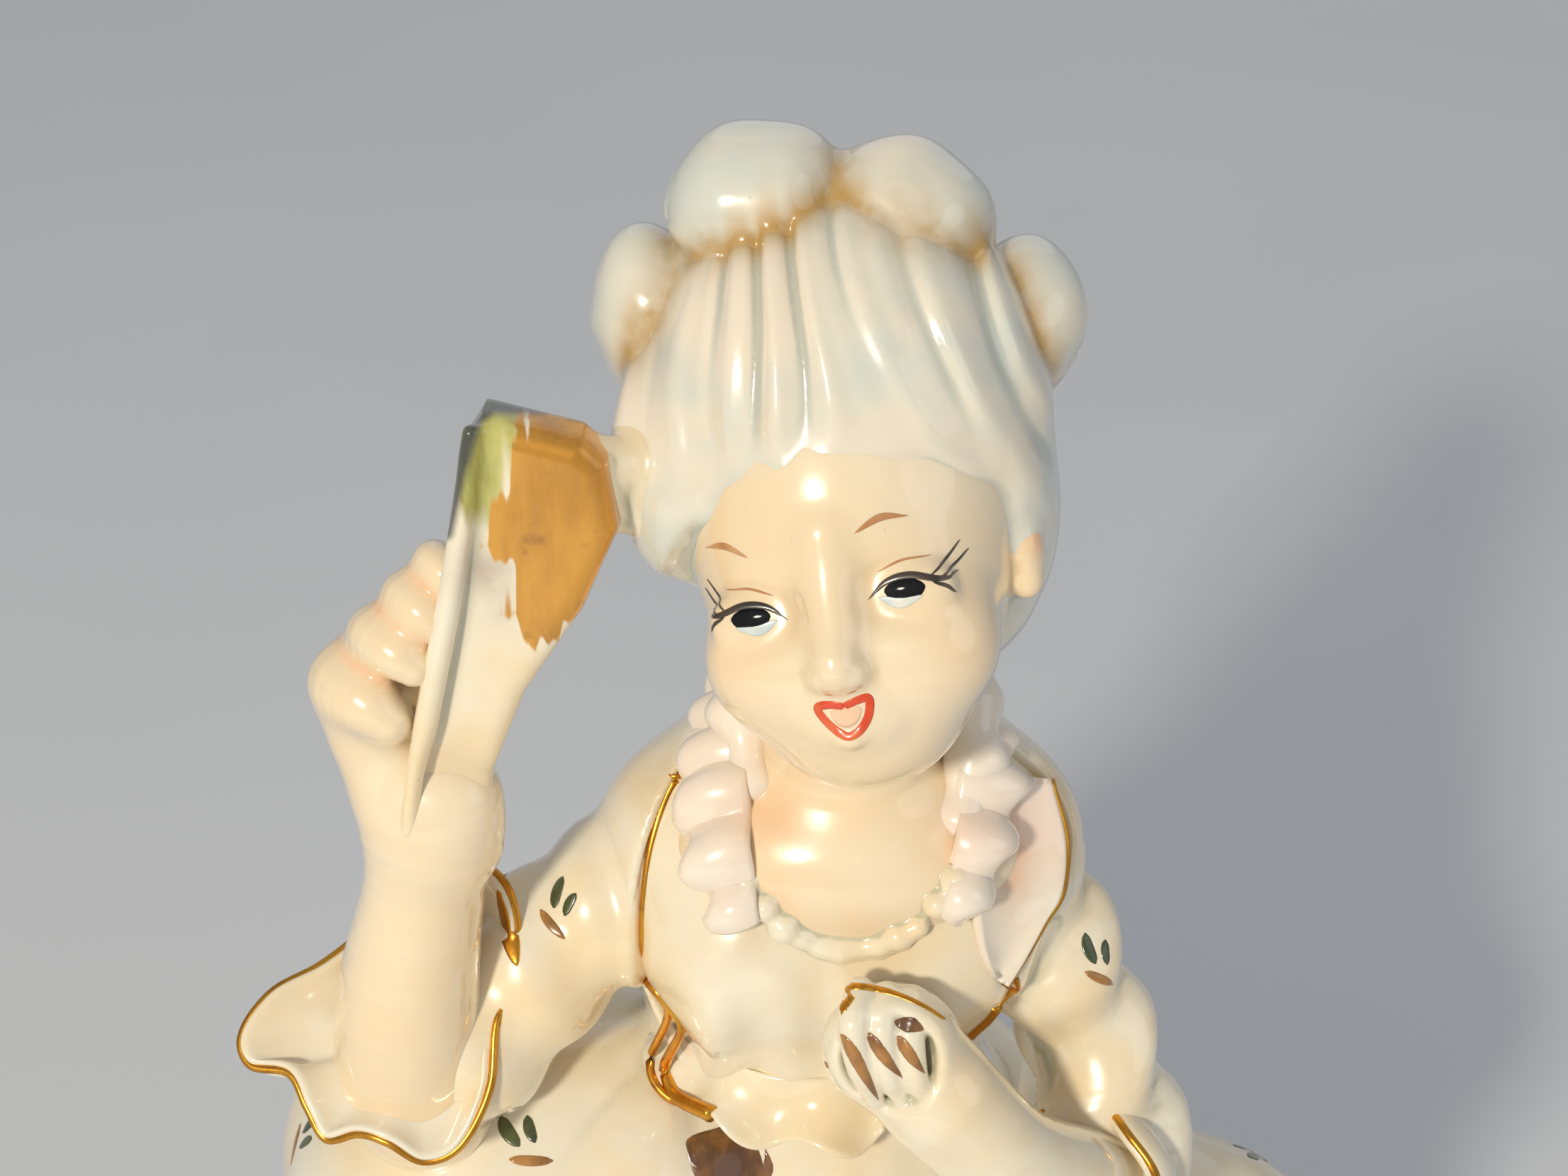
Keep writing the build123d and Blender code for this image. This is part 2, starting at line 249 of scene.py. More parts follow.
def sculpt(name, field, low, high, pitch, material, hollow=0.6, **marks):
    """Meshes a field inside a box. The hollows mark is where glaze gathers and where painted shade darkens
    the colour. "tint" is none unless given.
    """
    marks = {"tint": lambda p: 0 * p[:, 0], **marks}
    low, high = np.array(low, np.float32), np.array(high, np.float32)
    coarse_step = 4
    cells = np.ceil((high - low) / (pitch * coarse_step)).astype(int)
    size = cells * coarse_step
    grid = [low[i] + pitch * (np.arange(cells[i]) + 0.5) * coarse_step for i in range(3)]
    middles = np.stack(np.meshgrid(*grid, indexing="ij"), -1).reshape(-1, 3).astype(np.float32)
    far = field(middles).reshape(cells)
    near = np.abs(far) < pitch * coarse_step * 1.7
    values = np.where(far > 0, 3.0, -3.0).astype(np.float32)
    for axis in range(3):
        values, near = np.repeat(values, coarse_step, axis), np.repeat(near, coarse_step, axis)
    spots = np.argwhere(near)
    d = np.concatenate([field(low + pitch * part.astype(np.float32)) for part in np.array_split(spots, 12)])
    values[near] = np.clip(d, -3, 3)
    values[[0, -1]] = values[:, [0, -1]] = values[:, :, [0, -1]] = 3.0
    volume = openvdb.FloatGrid(3.0)
    volume.copyFromArray(values)
    points, quads = volume.convertToQuads(0.0)
    p = (low + pitch * points).astype(np.float32)
    inside = ((p > low + 2 * pitch) & (p < low + pitch * (size - 3))).all(1)
    for _ in range(3):
        d, g = field(p), slope(field, p)
        move = g * (d / np.maximum((g**2).sum(1), 0.25))[:, None]
        p = p - np.clip(move, -pitch, pitch) * inside[:, None]
    # concave places: pooled glaze and painted shade in creases and recesses
    bend = sum(field(p + hollow * s * e) for e in np.eye(3, dtype=np.float32) for s in (-1, 1)) - 6 * field(p)
    pool = np.clip(-bend / hollow, 0, 1)
    values_of = {mark: get(p) for mark, get in marks.items()}
    return put(name, p, quads, material, pool=pool, **values_of)


def skin(name, sections, material, closed=False, **marks):
    """A solid skinned over a row of closed cross-sections."""
    sections = np.asarray(sections, float)
    n, m = sections.shape[:2]
    points = sections.reshape(-1, 3)
    faces = []
    for i in range(n if closed else n - 1):
        a, b = i * m, (i + 1) % n * m
        faces += [(a + j, a + (j + 1) % m, b + (j + 1) % m, b + j) for j in range(m)]
    if not closed:
        points = np.vstack([points, sections[0].mean(0), sections[-1].mean(0)])
        last = (n - 1) * m
        faces += [((j + 1) % m, j, n * m) for j in range(m)]
        faces += [(last + j, last + (j + 1) % m, n * m + 1) for j in range(m)]
    triangles = np.array(
        [(f[0], f[1], f[2]) for f in faces] + [(f[0], f[2], f[3]) for f in faces if len(f) == 4]
    )
    a, b, c = (points[triangles[:, i]] for i in range(3))
    if (np.cross(b - a, c - a) * (a - points.mean(0))).sum() < 0:
        faces = [f[::-1] for f in faces]
    return put(name, points, faces, material, **{k: np.resize(v, len(points)) for k, v in marks.items()})


def unit(v):
    return v / np.maximum(np.linalg.norm(v, axis=-1, keepdims=True), 1e-9)


def ribbon(name, inner, outer, thick, material, closed=False, arch=0.0, across=12):
    """A sheet of slip between two curves, with a rounded outer rim. arch bows it along its own normal."""
    inner, outer = np.asarray(inner, float), np.asarray(outer, float)
    if closed:
        along = np.roll(outer + inner, -1, 0) - np.roll(outer + inner, 1, 0)
    else:
        along = np.gradient(outer + inner, axis=0)
    normal = unit(np.cross(unit(along), unit(outer - inner)))
    s = np.linspace(0, 1, across)
    half = thick / 2
    middle = [inner + (outer - inner) * t + normal * arch * 4 * t * (1 - t) for t in s]
    upper = [m + normal * half for m in middle]
    lower = [m - normal * half for m in middle[::-1]]
    outward = unit(middle[-1] - middle[-2])
    rim = [middle[-1] + outward * half * sin(a) + normal * half * cos(a) for a in np.linspace(0, pi, 7)[1:-1]]
    loops = np.stack([*upper, *rim, *lower], 1)
    return skin(name, loops, material, closed)


def cord(name, path, radius, material, closed=False, sides=8):
    """A round bead of gold or slip along a path. radius may be one number or one per point."""
    path = np.asarray(path, float)
    along = np.roll(path, -1, 0) - np.roll(path, 1, 0) if closed else np.gradient(path, axis=0)
    along = unit(along)
    side = unit(np.cross(along, (0.13, 0.21, 0.97)))
    up = np.cross(along, side)
    radius = np.broadcast_to(radius, len(path))[:, None]
    ring = [
        path + radius * (side * cos(a) + up * sin(a))
        for a in np.linspace(0, 2 * pi, sides, endpoint=False)
    ]
    return skin(name, np.stack(ring, 1), material, closed)


def tree(*names):
    """A search tree over the surfaces of these pieces."""
    points, faces, shift = [], [], 0
    for name in names:
        p, f = surfaces[name]
        points.append(p)
        faces += [tuple(int(i) + shift for i in face) for face in f]
        shift += len(p)
    return BVHTree.FromPolygons(np.vstack(points).tolist(), faces)


def land(target, point, toward, back=14.0):
    """Where a line through the point along toward first meets the target, or else the nearest place."""
    hit, normal, _, distance = target.ray_cast(Vector(point - toward * back), Vector(toward))
    if hit is None or distance > back + 5:
        hit, normal, _, _ = target.find_nearest(Vector(point))
    return np.array(hit), np.array(normal)


PAINTER = vec(-3.0, -104.6, 187.3)  # the camera's place; strokes on the front are laid on from here


def brush(name, target, points, width, material, toward=None, height=0.035, taper=0.5, steps=9):
    """A brush stroke laid on the target: points are near the surface and are dropped onto it along toward.

    toward is one direction, or one per point, or None for away from the painter. taper is the share of the
    stroke, at each end, over which it narrows. width may be one per point.
    """
    points = np.asarray(points, float)
    toward = points - PAINTER if toward is None else np.broadcast_to(np.asarray(toward, float), points.shape)
    path = smooth_path(np.column_stack([points, unit(toward), np.broadcast_to(width, len(points))]), steps)
    dropped = [land(target, row[:3], row[3:6]) for row in path]
    spine, normals = np.array([d[0] for d in dropped]), np.array([d[1] for d in dropped])
    along = unit(np.gradient(spine, axis=0))
    side = unit(np.cross(along, normals))
    t = np.linspace(0, 1, len(spine))
    ends = np.minimum(t, 1 - t) / max(taper, 1e-3)
    narrow = np.sqrt(np.clip(1 - (1 - np.clip(ends, 0, 1)) ** 2, 0.02, 1))
    half = path[:, 6] / 2 * narrow
    u = np.linspace(-1, 1, 7)
    top, under = [], []
    for share in u:
        row = []
        for s, n, e, h in zip(spine, normals, side, half):
            near, own, _, _ = target.find_nearest(Vector(s + e * h * share))
            own = np.array(own)
            own = own if own @ n > 0 else -own
            row.append((np.array(near), own))
        lift = height * (1 - share**2) + 0.008
        top.append([q + own * lift for q, own in row])
        under.append([q - own * 0.12 for q, own in row])
    loops = np.stack([np.array(r) for r in top + under[::-1]], 1)
    return skin(name, loops, material)


def join(name, pieces):
    """Several meshes as one piece, keeping each one's materials."""
    for other in bpy.context.selected_objects:
        other.select_set(False)
    for made in pieces:
        made.select_set(True)
    bpy.context.view_layer.objects.active = pieces[0]
    bpy.ops.object.join()
    pieces[0].name = pieces[0].data.name = name
    return pieces[0]


# ---- materials ----------------------------------------------------------------------------
def start_material(name):
    material = bpy.data.materials.new(name)
    material.use_nodes = True
    return material, material.node_tree.nodes, material.node_tree.links, material.node_tree.nodes[
        "Principled BSDF"
    ]


def mixed(nodes, links, factor, a, b):
    """A colour mix. a and b are colours or sockets, and factor is a socket or a number."""
    mix = nodes.new("ShaderNodeMix")
    mix.data_type = "RGBA"
    for socket, value in ((mix.inputs[0], factor), (mix.inputs[6], a), (mix.inputs[7], b)):
        if isinstance(value, bpy.types.NodeSocket):
            links.new(value, socket)
        elif isinstance(value, tuple):
            socket.default_value = (*value, 1)
        else:
            socket.default_value = value
    return mix.outputs[2]


def noise(nodes, links, scale, detail=3.0, stretch=(1, 1, 1), rough=0.55):
    """Noise in the object's own space. scale is in features per metre."""
    where = nodes.new("ShaderNodeTexCoord")
    shape = nodes.new("ShaderNodeMapping")
    shape.inputs["Scale"].default_value = stretch
    cloud = nodes.new("ShaderNodeTexNoise")
    cloud.inputs["Scale"].default_value = scale
    cloud.inputs["Detail"].default_value = detail
    cloud.inputs["Roughness"].default_value = rough
    links.new(where.outputs["Object"], shape.inputs["Vector"])
    links.new(shape.outputs["Vector"], cloud.inputs["Vector"])
    return cloud.outputs["Fac"]


def ramp(nodes, links, value, low, high, to_low=0.0, to_high=1.0):
    """The value eased from one range to another."""
    step = nodes.new("ShaderNodeMapRange")
    step.interpolation_type = "SMOOTHSTEP"
    for socket, number in zip(("From Min", "From Max", "To Min", "To Max"), (low, high, to_low, to_high)):
        step.inputs[socket].default_value = number
    links.new(value, step.inputs["Value"])
    return step.outputs["Result"]


def mark(nodes, name):
    read = nodes.new("ShaderNodeAttribute")
    read.attribute_name = name
    return read.outputs["Fac"]


def product(nodes, links, a, b):
    times = nodes.new("ShaderNodeMath")
    times.operation = "MULTIPLY"
    for socket, value in zip(times.inputs, (a, b)):
        if isinstance(value, bpy.types.NodeSocket):
            links.new(value, socket)
        else:
            socket.default_value = value
    return times.outputs[0]


def mixed_value(nodes, links, factor, a, b):
    mix = nodes.new("ShaderNodeMix")
    for socket, value in zip(mix.inputs[:1] + mix.inputs[2:4], (factor, a, b)):
        links.new(value, socket)
    return mix.outputs[0]


def bump(nodes, links, bsdf, height, strength, distance):
    relief = nodes.new("ShaderNodeBump")
    relief.inputs["Strength"].default_value = strength
    relief.inputs["Distance"].default_value = distance
    links.new(height, relief.inputs["Height"])
    links.new(relief.outputs["Normal"], bsdf.inputs["Normal"])


WHITE, CREAM = (0.86, 0.79, 0.62), (0.87, 0.70, 0.44)
SKIN, PEACH = (0.88, 0.69, 0.44), (0.86, 0.50, 0.26)
PEARL, SHELL = (0.66, 0.68, 0.60), (0.85, 0.75, 0.59)
# OCHRE, the default tint, is mostly painted shade; MOSS darkens hollows as pooled glaze and painted shade;
# UMBER is painted shade
OCHRE, MOSS, UMBER = (0.50, 0.30, 0.08), (0.42, 0.42, 0.27), (0.11, 0.045, 0.015)
GOLD, DEEP_GOLD = (0.82, 0.40, 0.05), (0.46, 0.19, 0.025)


def glaze(name, base, second, pooled, pool_share=0.8, tint=OCHRE):
    """Porcelain under clear glaze, which drifts between two whites, darkens in hollows as pooled glaze and
    painted shade, and takes the tint, which on most pieces is painted shade.
    """
    material, nodes, links, bsdf = start_material(name)
    drift = ramp(nodes, links, noise(nodes, links, 110, 3), 0.42, 0.66)
    colour = mixed(nodes, links, drift, base, second)
    fine = ramp(nodes, links, noise(nodes, links, 480, 4), 0.35, 0.75, 0.0, 0.22)
    colour = mixed(nodes, links, fine, colour, tuple(0.9 * c for c in second))
    # hollows darkened by pooled glaze and painted shade
    pool = ramp(nodes, links, mark(nodes, "pool"), 0.12, 0.95, 0.0, pool_share)
    colour = mixed(nodes, links, pool, colour, pooled)
    uneven = ramp(nodes, links, noise(nodes, links, 420, 4), 0.30, 0.62, 0.45, 1.0)
    colour = mixed(nodes, links, product(nodes, links, mark(nodes, "tint"), uneven), colour, tint)
    specks = ramp(nodes, links, noise(nodes, links, 2600, 1), 0.80, 0.86, 0.0, 0.55)
    colour = mixed(nodes, links, specks, colour, (0.36, 0.27, 0.17))
    links.new(colour, bsdf.inputs["Base Color"])
    links.new(ramp(nodes, links, noise(nodes, links, 300, 3), 0.3, 0.7, 0.16, 0.30), bsdf.inputs["Roughness"])
    bsdf.inputs["Coat Weight"].default_value = 1.0
    bsdf.inputs["Coat Roughness"].default_value = 0.035
    bsdf.inputs["Coat IOR"].default_value = 1.52
    bsdf.inputs["Subsurface Weight"].default_value = 0.12
    bsdf.inputs["Subsurface Radius"].default_value = (1.0, 0.7, 0.45)
    bsdf.inputs["Subsurface Scale"].default_value = 0.0008
    bump(nodes, links, bsdf, noise(nodes, links, 420, 2), 0.10, 0.00012)
    return material


def gilt_nodes(nodes, links, bsdf):
    """Colour and roughness of fired, brushed gold."""
    streaks = noise(nodes, links, 260, 5, (1, 1, 0.25), 0.65)
    blots = noise(nodes, links, 700, 3)
    colour = mixed(nodes, links, ramp(nodes, links, streaks, 0.38, 0.68), GOLD, DEEP_GOLD)
    colour = mixed(nodes, links, ramp(nodes, links, blots, 0.60, 0.76, 0.0, 0.7), colour, (0.27, 0.12, 0.03))
    return colour, ramp(nodes, links, streaks, 0.3, 0.7, 0.20, 0.42)


def gilding(name):
    material, nodes, links, bsdf = start_material(name)
    colour, rough = gilt_nodes(nodes, links, bsdf)
    links.new(colour, bsdf.inputs["Base Color"])
    links.new(rough, bsdf.inputs["Roughness"])
    bsdf.inputs["Metallic"].default_value = 1.0
    bump(nodes, links, bsdf, noise(nodes, links, 900, 3), 0.35, 0.00008)
    return material


def enamel(name, thick, thin, rough=0.22, shine=0.7):
    """Brushed overglaze colour, thick and thin."""
    material, nodes, links, bsdf = start_material(name)
    wash = ramp(nodes, links, noise(nodes, links, 650, 4, (1, 1, 0.6)), 0.36, 0.68)
    links.new(mixed(nodes, links, wash, thick, thin), bsdf.inputs["Base Color"])
    links.new(
        ramp(nodes, links, noise(nodes, links, 800, 2), 0.3, 0.7, rough, rough + 0.14),
        bsdf.inputs["Roughness"],
    )
    bsdf.inputs["Specular IOR Level"].default_value = 0.7 * shine
    bsdf.inputs["Coat Weight"].default_value = shine
    bsdf.inputs["Coat Roughness"].default_value = 0.06
    return material


# the third colour of each glaze darkens its hollows, as pooled glaze and painted shade
white_glaze = glaze("white_glaze", WHITE, CREAM, MOSS, 0.6)
skin_glaze = glaze("skin_glaze", SKIN, (0.88, 0.74, 0.52), (0.60, 0.40, 0.18), 0.55, tint=PEACH)
hair_glaze = glaze("hair_glaze", PEARL, SHELL, (0.36, 0.40, 0.34), 0.6)
frill_glaze = glaze(
    "frill_glaze", (0.88, 0.78, 0.65), (0.88, 0.69, 0.56), (0.62, 0.40, 0.18), 0.7,
    tint=(0.72, 0.36, 0.18),
)
lapel_glaze = glaze("lapel_glaze", (0.89, 0.80, 0.64), (0.88, 0.70, 0.56), MOSS, 0.4, tint=(0.84, 0.42, 0.20))
gold = gilding("gold")
leaf_green = enamel("leaf_green", (0.030, 0.045, 0.012), (0.085, 0.10, 0.025))
brown_gold = enamel("brown_gold", (0.22, 0.095, 0.02), (0.45, 0.21, 0.05))
black_enamel = enamel("black_enamel", (0.004, 0.004, 0.006), (0.012, 0.012, 0.016), 0.45, 0.1)
eye_white = enamel("eye_white", (0.56, 0.64, 0.64), (0.76, 0.74, 0.64), 0.3, 0.4)
lash_brown = enamel("lash_brown", (0.03, 0.022, 0.016), (0.09, 0.06, 0.035))
brow_brown = enamel("brow_brown", (0.46, 0.20, 0.07), (0.62, 0.34, 0.15))
lip_red = enamel("lip_red", (0.68, 0.055, 0.012), (0.76, 0.15, 0.04))
lip_pale = enamel("lip_pale", (0.87, 0.56, 0.36), (0.88, 0.66, 0.47))
# dark umber that stands for shade: painted shade under the stomacher hem and among the fingers
umber_painted_shade = enamel("umber_painted_shade", UMBER, (0.26, 0.12, 0.035))


def painted_fan():
    """White glaze with brushed gold, an olive band that is a painted reflection in the gold, and a dark
    outline that is a painted dark reflection along its edge, each where its mark says.
    """
    material = glaze("painted_fan", WHITE, CREAM, MOSS, 0.5, tint=(0.40, 0.31, 0.24))
    nodes, links = material.node_tree.nodes, material.node_tree.links
    bsdf = nodes["Principled BSDF"]
    colour = bsdf.inputs["Base Color"].links[0].from_socket
    rough = bsdf.inputs["Roughness"].links[0].from_socket
    # olive colour of the painted reflection in the gold
    olive = mixed(
        nodes, links, ramp(nodes, links, noise(nodes, links, 500, 4, (1, 1, 0.3)), 0.35, 0.7),
        (0.30, 0.29, 0.04), (0.60, 0.56, 0.17),
    )
    colour = mixed(nodes, links, mark(nodes, "olive"), colour, olive)
    gilt_colour, gilt_rough = gilt_nodes(nodes, links, bsdf)
    worn = ramp(nodes, links, noise(nodes, links, 180, 4, (1, 1, 0.5)), 0.30, 0.70, 0.10, 0.65)
    gilt_colour = mixed(nodes, links, worn, gilt_colour, (0.62, 0.28, 0.01))
    streaks = ramp(nodes, links, noise(nodes, links, 900, 4, (1, 1, 0.2)), 0.25, 0.75, -0.17, 0.17)
    edge = nodes.new("ShaderNodeMath")
    edge.operation = "ADD"
    links.new(mark(nodes, "gilt"), edge.inputs[0])
    links.new(streaks, edge.inputs[1])
    covered = ramp(nodes, links, edge.outputs[0], 0.38, 0.62)
    colour = mixed(nodes, links, covered, colour, gilt_colour)
    # painted dark reflection along the fan's upper edge
    colour = mixed(nodes, links, mark(nodes, "ink"), colour, (0.045, 0.05, 0.055))
    links.new(colour, bsdf.inputs["Base Color"])
    links.new(product(nodes, links, covered, 0.55), bsdf.inputs["Metallic"])
    links.new(mixed_value(nodes, links, covered, rough, gilt_rough), bsdf.inputs["Roughness"])
    return material


fan_paint = painted_fan()


# ---- torso --------------------------------------------------------------------------------
MIDDLE_X = 0.4
TORSO = fine_rings(
    (
        (91.0, 9.2, 7.8, 1.2, -0.8),
        (96.0, 8.8, 8.0, 1.1, -1.2),
        (101.0, 9.1, 8.7, 0.7, -1.2),
        (106.0, 10.4, 9.1, 0.0, -0.6),
        (111.0, 11.3, 8.4, -0.4, 0.1),
        (115.0, 10.0, 7.0, -0.6, 0.3),
        (118.0, 8.0, 5.8, -0.8, 0.3),
        (120.2, 6.0, 4.6, -0.8, 0.2),
    )
)
torso = blend(
    2.6,
    bell(TORSO, 1.2),
    egg((-7.6, -0.8, 111.6), (4.6, 4.6, 4.2)),
    egg((7.6, -0.8, 111.6), (4.6, 4.6, 4.2)),
    egg((-5.2, -5.6, 107.4), (5.0, 4.6, 5.4)),
    egg((4.4, -5.4, 107.2), (4.8, 4.5, 5.0)),
)


def pleats(p):
    """Soft upright pleats down the front of the stomacher."""
    front = np.clip((-p[:, 1] - 3) / 3, 0, 1)
    low = np.clip((110.5 - p[:, 2]) / 5, 0, 1)
    wave = np.sin(p[:, 0] * 1.55 + 0.5 * np.sin(p[:, 2] * 0.35)) * 0.5 + np.sin(p[:, 0] * 0.9 + 1.3) * 0.5
    return 0.5 * wave * front * low


def neckline_height(x):
    return 110.7 + 0.12 * (x - 0.4) ** 2


chest = blend(
    1.6, egg((MIDDLE_X, -3.6, 113.4), (9.6, 6.4, 5.8)),
    limb(
        (
            (MIDDLE_X, -1.4, 112, 6.2), (0.4, -2.6, 118, 4.9), (0.0, -3.8, 122.5, 4.3),
            (-0.2, -4.2, 126, 4.6),
        )
    ),
)
bodice_front = grow(torso, lambda p: 0.35 + pleats(p))


def below_neckline(p):
    return p[:, 2] - neckline_height(p[:, 0])


bodice = meet(0.5, bodice_front, lambda p: np.maximum(below_neckline(p), -p[:, 1] - 30) * 0.8)


def edge_between(rows):
    """Where an edge runs, as a function of height, through (height, x) rows."""
    path = smooth_path(rows, 6)
    order = np.argsort(path[:, 0])
    return lambda z: np.interp(z, path[order, 0], path[order, 1]).astype(np.float32)


# the jacket's two front edges wander as they go down
right_edge = edge_between(
    (
        (120, -6.2), (117, -8.8), (113.5, -10.4), (109, -11.0), (105, -10.9), (102, -10.0), (99, -8.3),
        (95, -7.2), (90, -6),
    )
)
left_edge = edge_between(
    (
        (120, 7.5), (116.8, 11.2), (113, 12.3), (110, 11.1), (107.6, 9.1), (105.5, 9.4), (102, 8.3),
        (99, 7.4), (95, 6.6), (90, 6),
    )
)


def jacket_opening(p):
    inside = np.maximum(right_edge(p[:, 2]) - p[:, 0], p[:, 0] - left_edge(p[:, 2]))
    return smooth_max(inside, p[:, 1] + 1.5, 2.0)


def neck_hole(p):
    return np.sqrt(
        (p[:, 0] - MIDDLE_X) ** 2 + (p[:, 1] + 2.6) ** 2
    ) - 6.2 - np.clip(p[:, 2] - 117.5, -1.5, 3) * 0.55


def back_pleats(p):
    back = np.clip(p[:, 1] / 3, 0, 1)
    return 0.28 * back * np.abs(np.sin(p[:, 0] * 0.95)) * np.clip((114 - p[:, 2]) / 3, 0, 1)


jacket = carve(0.9, grow(torso, lambda p: 1.05 + back_pleats(p)), jacket_opening, neck_hole)

# ---- skirt and base -----------------------------------------------------------------------
SKIRT = fine_rings(
    (
        (9.0, 36.2, 30.2, 0.0, 0.0),
        (30.0, 34.4, 28.9, 0.0, 0.0),
        (56.0, 27.4, 23.4, 0.0, 0.0),
        (80.0, 17.0, 15.0, 0.5, -0.4),
        (98.0, 8.4, 7.6, 1.0, -1.2),
    )
)
CAVITY = fine_rings(
    (
        (6.0, 33.5, 27.6, 0.0, 0.0),
        (30.0, 31.3, 25.9, 0.0, 0.0),
        (56.0, 24.5, 20.5, 0.0, 0.0),
        (80.0, 14.0, 12.1, 0.5, -0.4),
        (94.0, 5.0, 4.4, 1.0, -1.2),
    )
)


def around(p):
    return np.arctan2(p[:, 0], -p[:, 1])


def skirt_folds(p):
    """Folds that deepen towards the hem, sharper in the valleys than on the ridges."""
    fall = np.clip((98 - p[:, 2]) / 60, 0, 1)
    a = around(p)
    wave = np.sqrt(np.sin(a * 8.5 + 0.5 * np.sin(a * 3) + 0.012 * p[:, 2]) ** 2 + 0.02)
    return fall * (1.5 * wave**0.8 - 0.9)


skirt = carve(0.6, grow(bell(SKIRT, 0.8), skirt_folds), bell(CAVITY, 0.8))


def drape_folds(p):
    fall = np.clip((95 - p[:, 2]) / 40, 0, 1)
    a = around(p)
    wave = np.sqrt(np.sin(a * 5.5 + 0.9 + 0.35 * np.sin(p[:, 2] * 0.09)) ** 2 + 0.03)
    return fall * (1.3 * wave**0.9 - 0.5) + 0.25 * np.sin(p[:, 2] * 0.33 + 3 * np.cos(a * 2)) * fall


def drape_hem(p):
    """The overskirt is caught up in scallops round its hem."""
    a = np.abs(around(p))
    return 22.5 + 2.4 * np.abs(np.sin(a * 4.0 + 0.35)) - p[:, 2]


FRONT_OPENING = radians(34)
BACK_LAP = 1.4  # at the back the drape on her left laps over the other by this much


def front_edge(z):
    """The angle from the front at which a drape's edge lies, at this height."""
    return FRONT_OPENING + 0.05 * np.sin(z * 0.11 + 0.6)


def drape_side(side):
    under = BACK_LAP if side < 0 else 0.0

    def field(p):
        a = around(p) * side
        a = np.where(a < -pi / 2, a + 2 * pi, a)
        radius = np.hypot(p[:, 0], p[:, 1])
        past_front = (front_edge(p[:, 2]) - a) * radius
        past_back = np.where(p[:, 1] > 0, -p[:, 0] * side - under, -radius)
        return smooth_max(past_front, past_back, 0.6)

    return field


overskirt = grow(bell(SKIRT, 0.8), lambda p: 2.2 + 0.35 * skirt_folds(p) + drape_folds(p))


def drape(side):
    lap = 0.55 if side > 0 else 0.0
    outside = grow(overskirt, lambda p: lap * np.exp(-((p[:, 0] / 4) ** 2)) * (p[:, 1] > 0))
    return carve(
        0.5,
        meet(0.9, outside, drape_side(side), drape_hem, lambda p: p[:, 2] - 91),
        grow(bell(SKIRT, 0.8), lambda p: skirt_folds(p) - 0.6),
    )


PANNIER_DROP = {-1: 0.0, 1: 14.0}  # the puff on her left hangs lower, clear of the bent arm


def pannier_folds(side):
    def field(p):
        q = p - vec(side * 8, 0, 97 - PANNIER_DROP[side])
        a = np.arctan2(q[:, 1], np.abs(q[:, 0]) + 0.5)
        wave = np.sqrt(np.sin(a * 4.2 + 0.6) ** 2 + 0.05)
        reach = np.clip(np.hypot(q[:, 0], q[:, 1]) / 8 - 0.2, 0, 1)
        return reach * (0.9 * wave**0.8 - 0.45)

    return field


def pannier(side):
    puff = blend(
        3.0,
        egg((side * 18.0, -0.5, 87.6 - PANNIER_DROP[side]), (15.2, 14.2, 11.0)),
        egg((side * 11.5, -1.0, 91.6 - PANNIER_DROP[side]), (9.0, 9.5, 6.0)),
    )
    return grow(puff, pannier_folds(side))


def lobed_radius(p, length, width, lobes=12, depth=2.4):
    a = np.arctan2(p[:, 1] / width, p[:, 0] / length)
    return 1 - depth * (1 - np.cos(lobes * a)) / (length + width)


def base_side(p, inset=0.0):
    length, width = 46.0, 40.0
    k0 = np.sqrt((p[:, 0] / length) ** 2 + (p[:, 1] / width) ** 2)
    k1 = np.sqrt((p[:, 0] / length**2) ** 2 + (p[:, 1] / width**2) ** 2)
    return (k0 - lobed_radius(p, length, width)) * k0 / np.maximum(k1, 1e-5) + inset


def base_profile(p):
    z = p[:, 2]
    ogee = 0.9 * np.sin(np.clip(z / 9, 0, 1) * pi * 2) * 0.6
    lip = 1.1 * np.clip((z - 6.5) / 2.5, 0, 1) ** 2
    return ogee - 0.55 + lip


base = carve(
    0.4,
    meet(1.0, lambda p: base_side(p) + base_profile(p), lambda p: np.maximum(p[:, 2] - 9.6, -p[:, 2])),
    lambda p: smooth_max(np.sqrt((p[:, 0] / 39) ** 2 + (p[:, 1] / 33) ** 2) * 36 - 36, p[:, 2] - 5, 0.8),
    lambda p: np.hypot(p[:, 0], p[:, 1]) - 15,
)

# ---- head ---------------------------------------------------------------------------------
HEAD = vec(0.5, -4.6, 131.95)
HEAD_AXES = turn(-15, -10, -10)


def to_head(field):
    """A field given in the head's own frame: x to her left, y back, z up."""
    return lambda p: field((p - HEAD) @ HEAD_AXES)


def at_head(x, y, z):
    return HEAD + HEAD_AXES @ vec(x, y, z)


EYES = {-1: (-3.9, -0.8), 1: (3.5, -0.3)}  # x and z in the head's frame
BROWS = {-1: (-4.9, 2.35), 1: (2.85, 3.05)}
sockets = [egg((x, -9.75, z + 0.35), (2.7, 1.9, 1.5)) for x, z in EYES.values()]
eyeballs = [egg((x, -7.2, z - 0.25), (2.1, 1.05, 1.25)) for x, z in EYES.values()]
cheeks = [egg((s * 3.7, -5.7, -3.8), (3.2, 3.0, 3.0)) for s in (-1, 1)]
skull = blend(
    3.0,
    egg((0, 0.9, 2.4), (8.4, 9.2, 9.6)),
    egg((0, -2.4, -3.9), (6.6, 6.9, 6.0)),
    egg((0, -4.9, -7.8), (3.6, 3.2, 2.6)),
)
face = blend(2.0, skull, *cheeks)
face = carve(1.6, face, *sockets)
face = blend(0.9, face, *eyeballs)
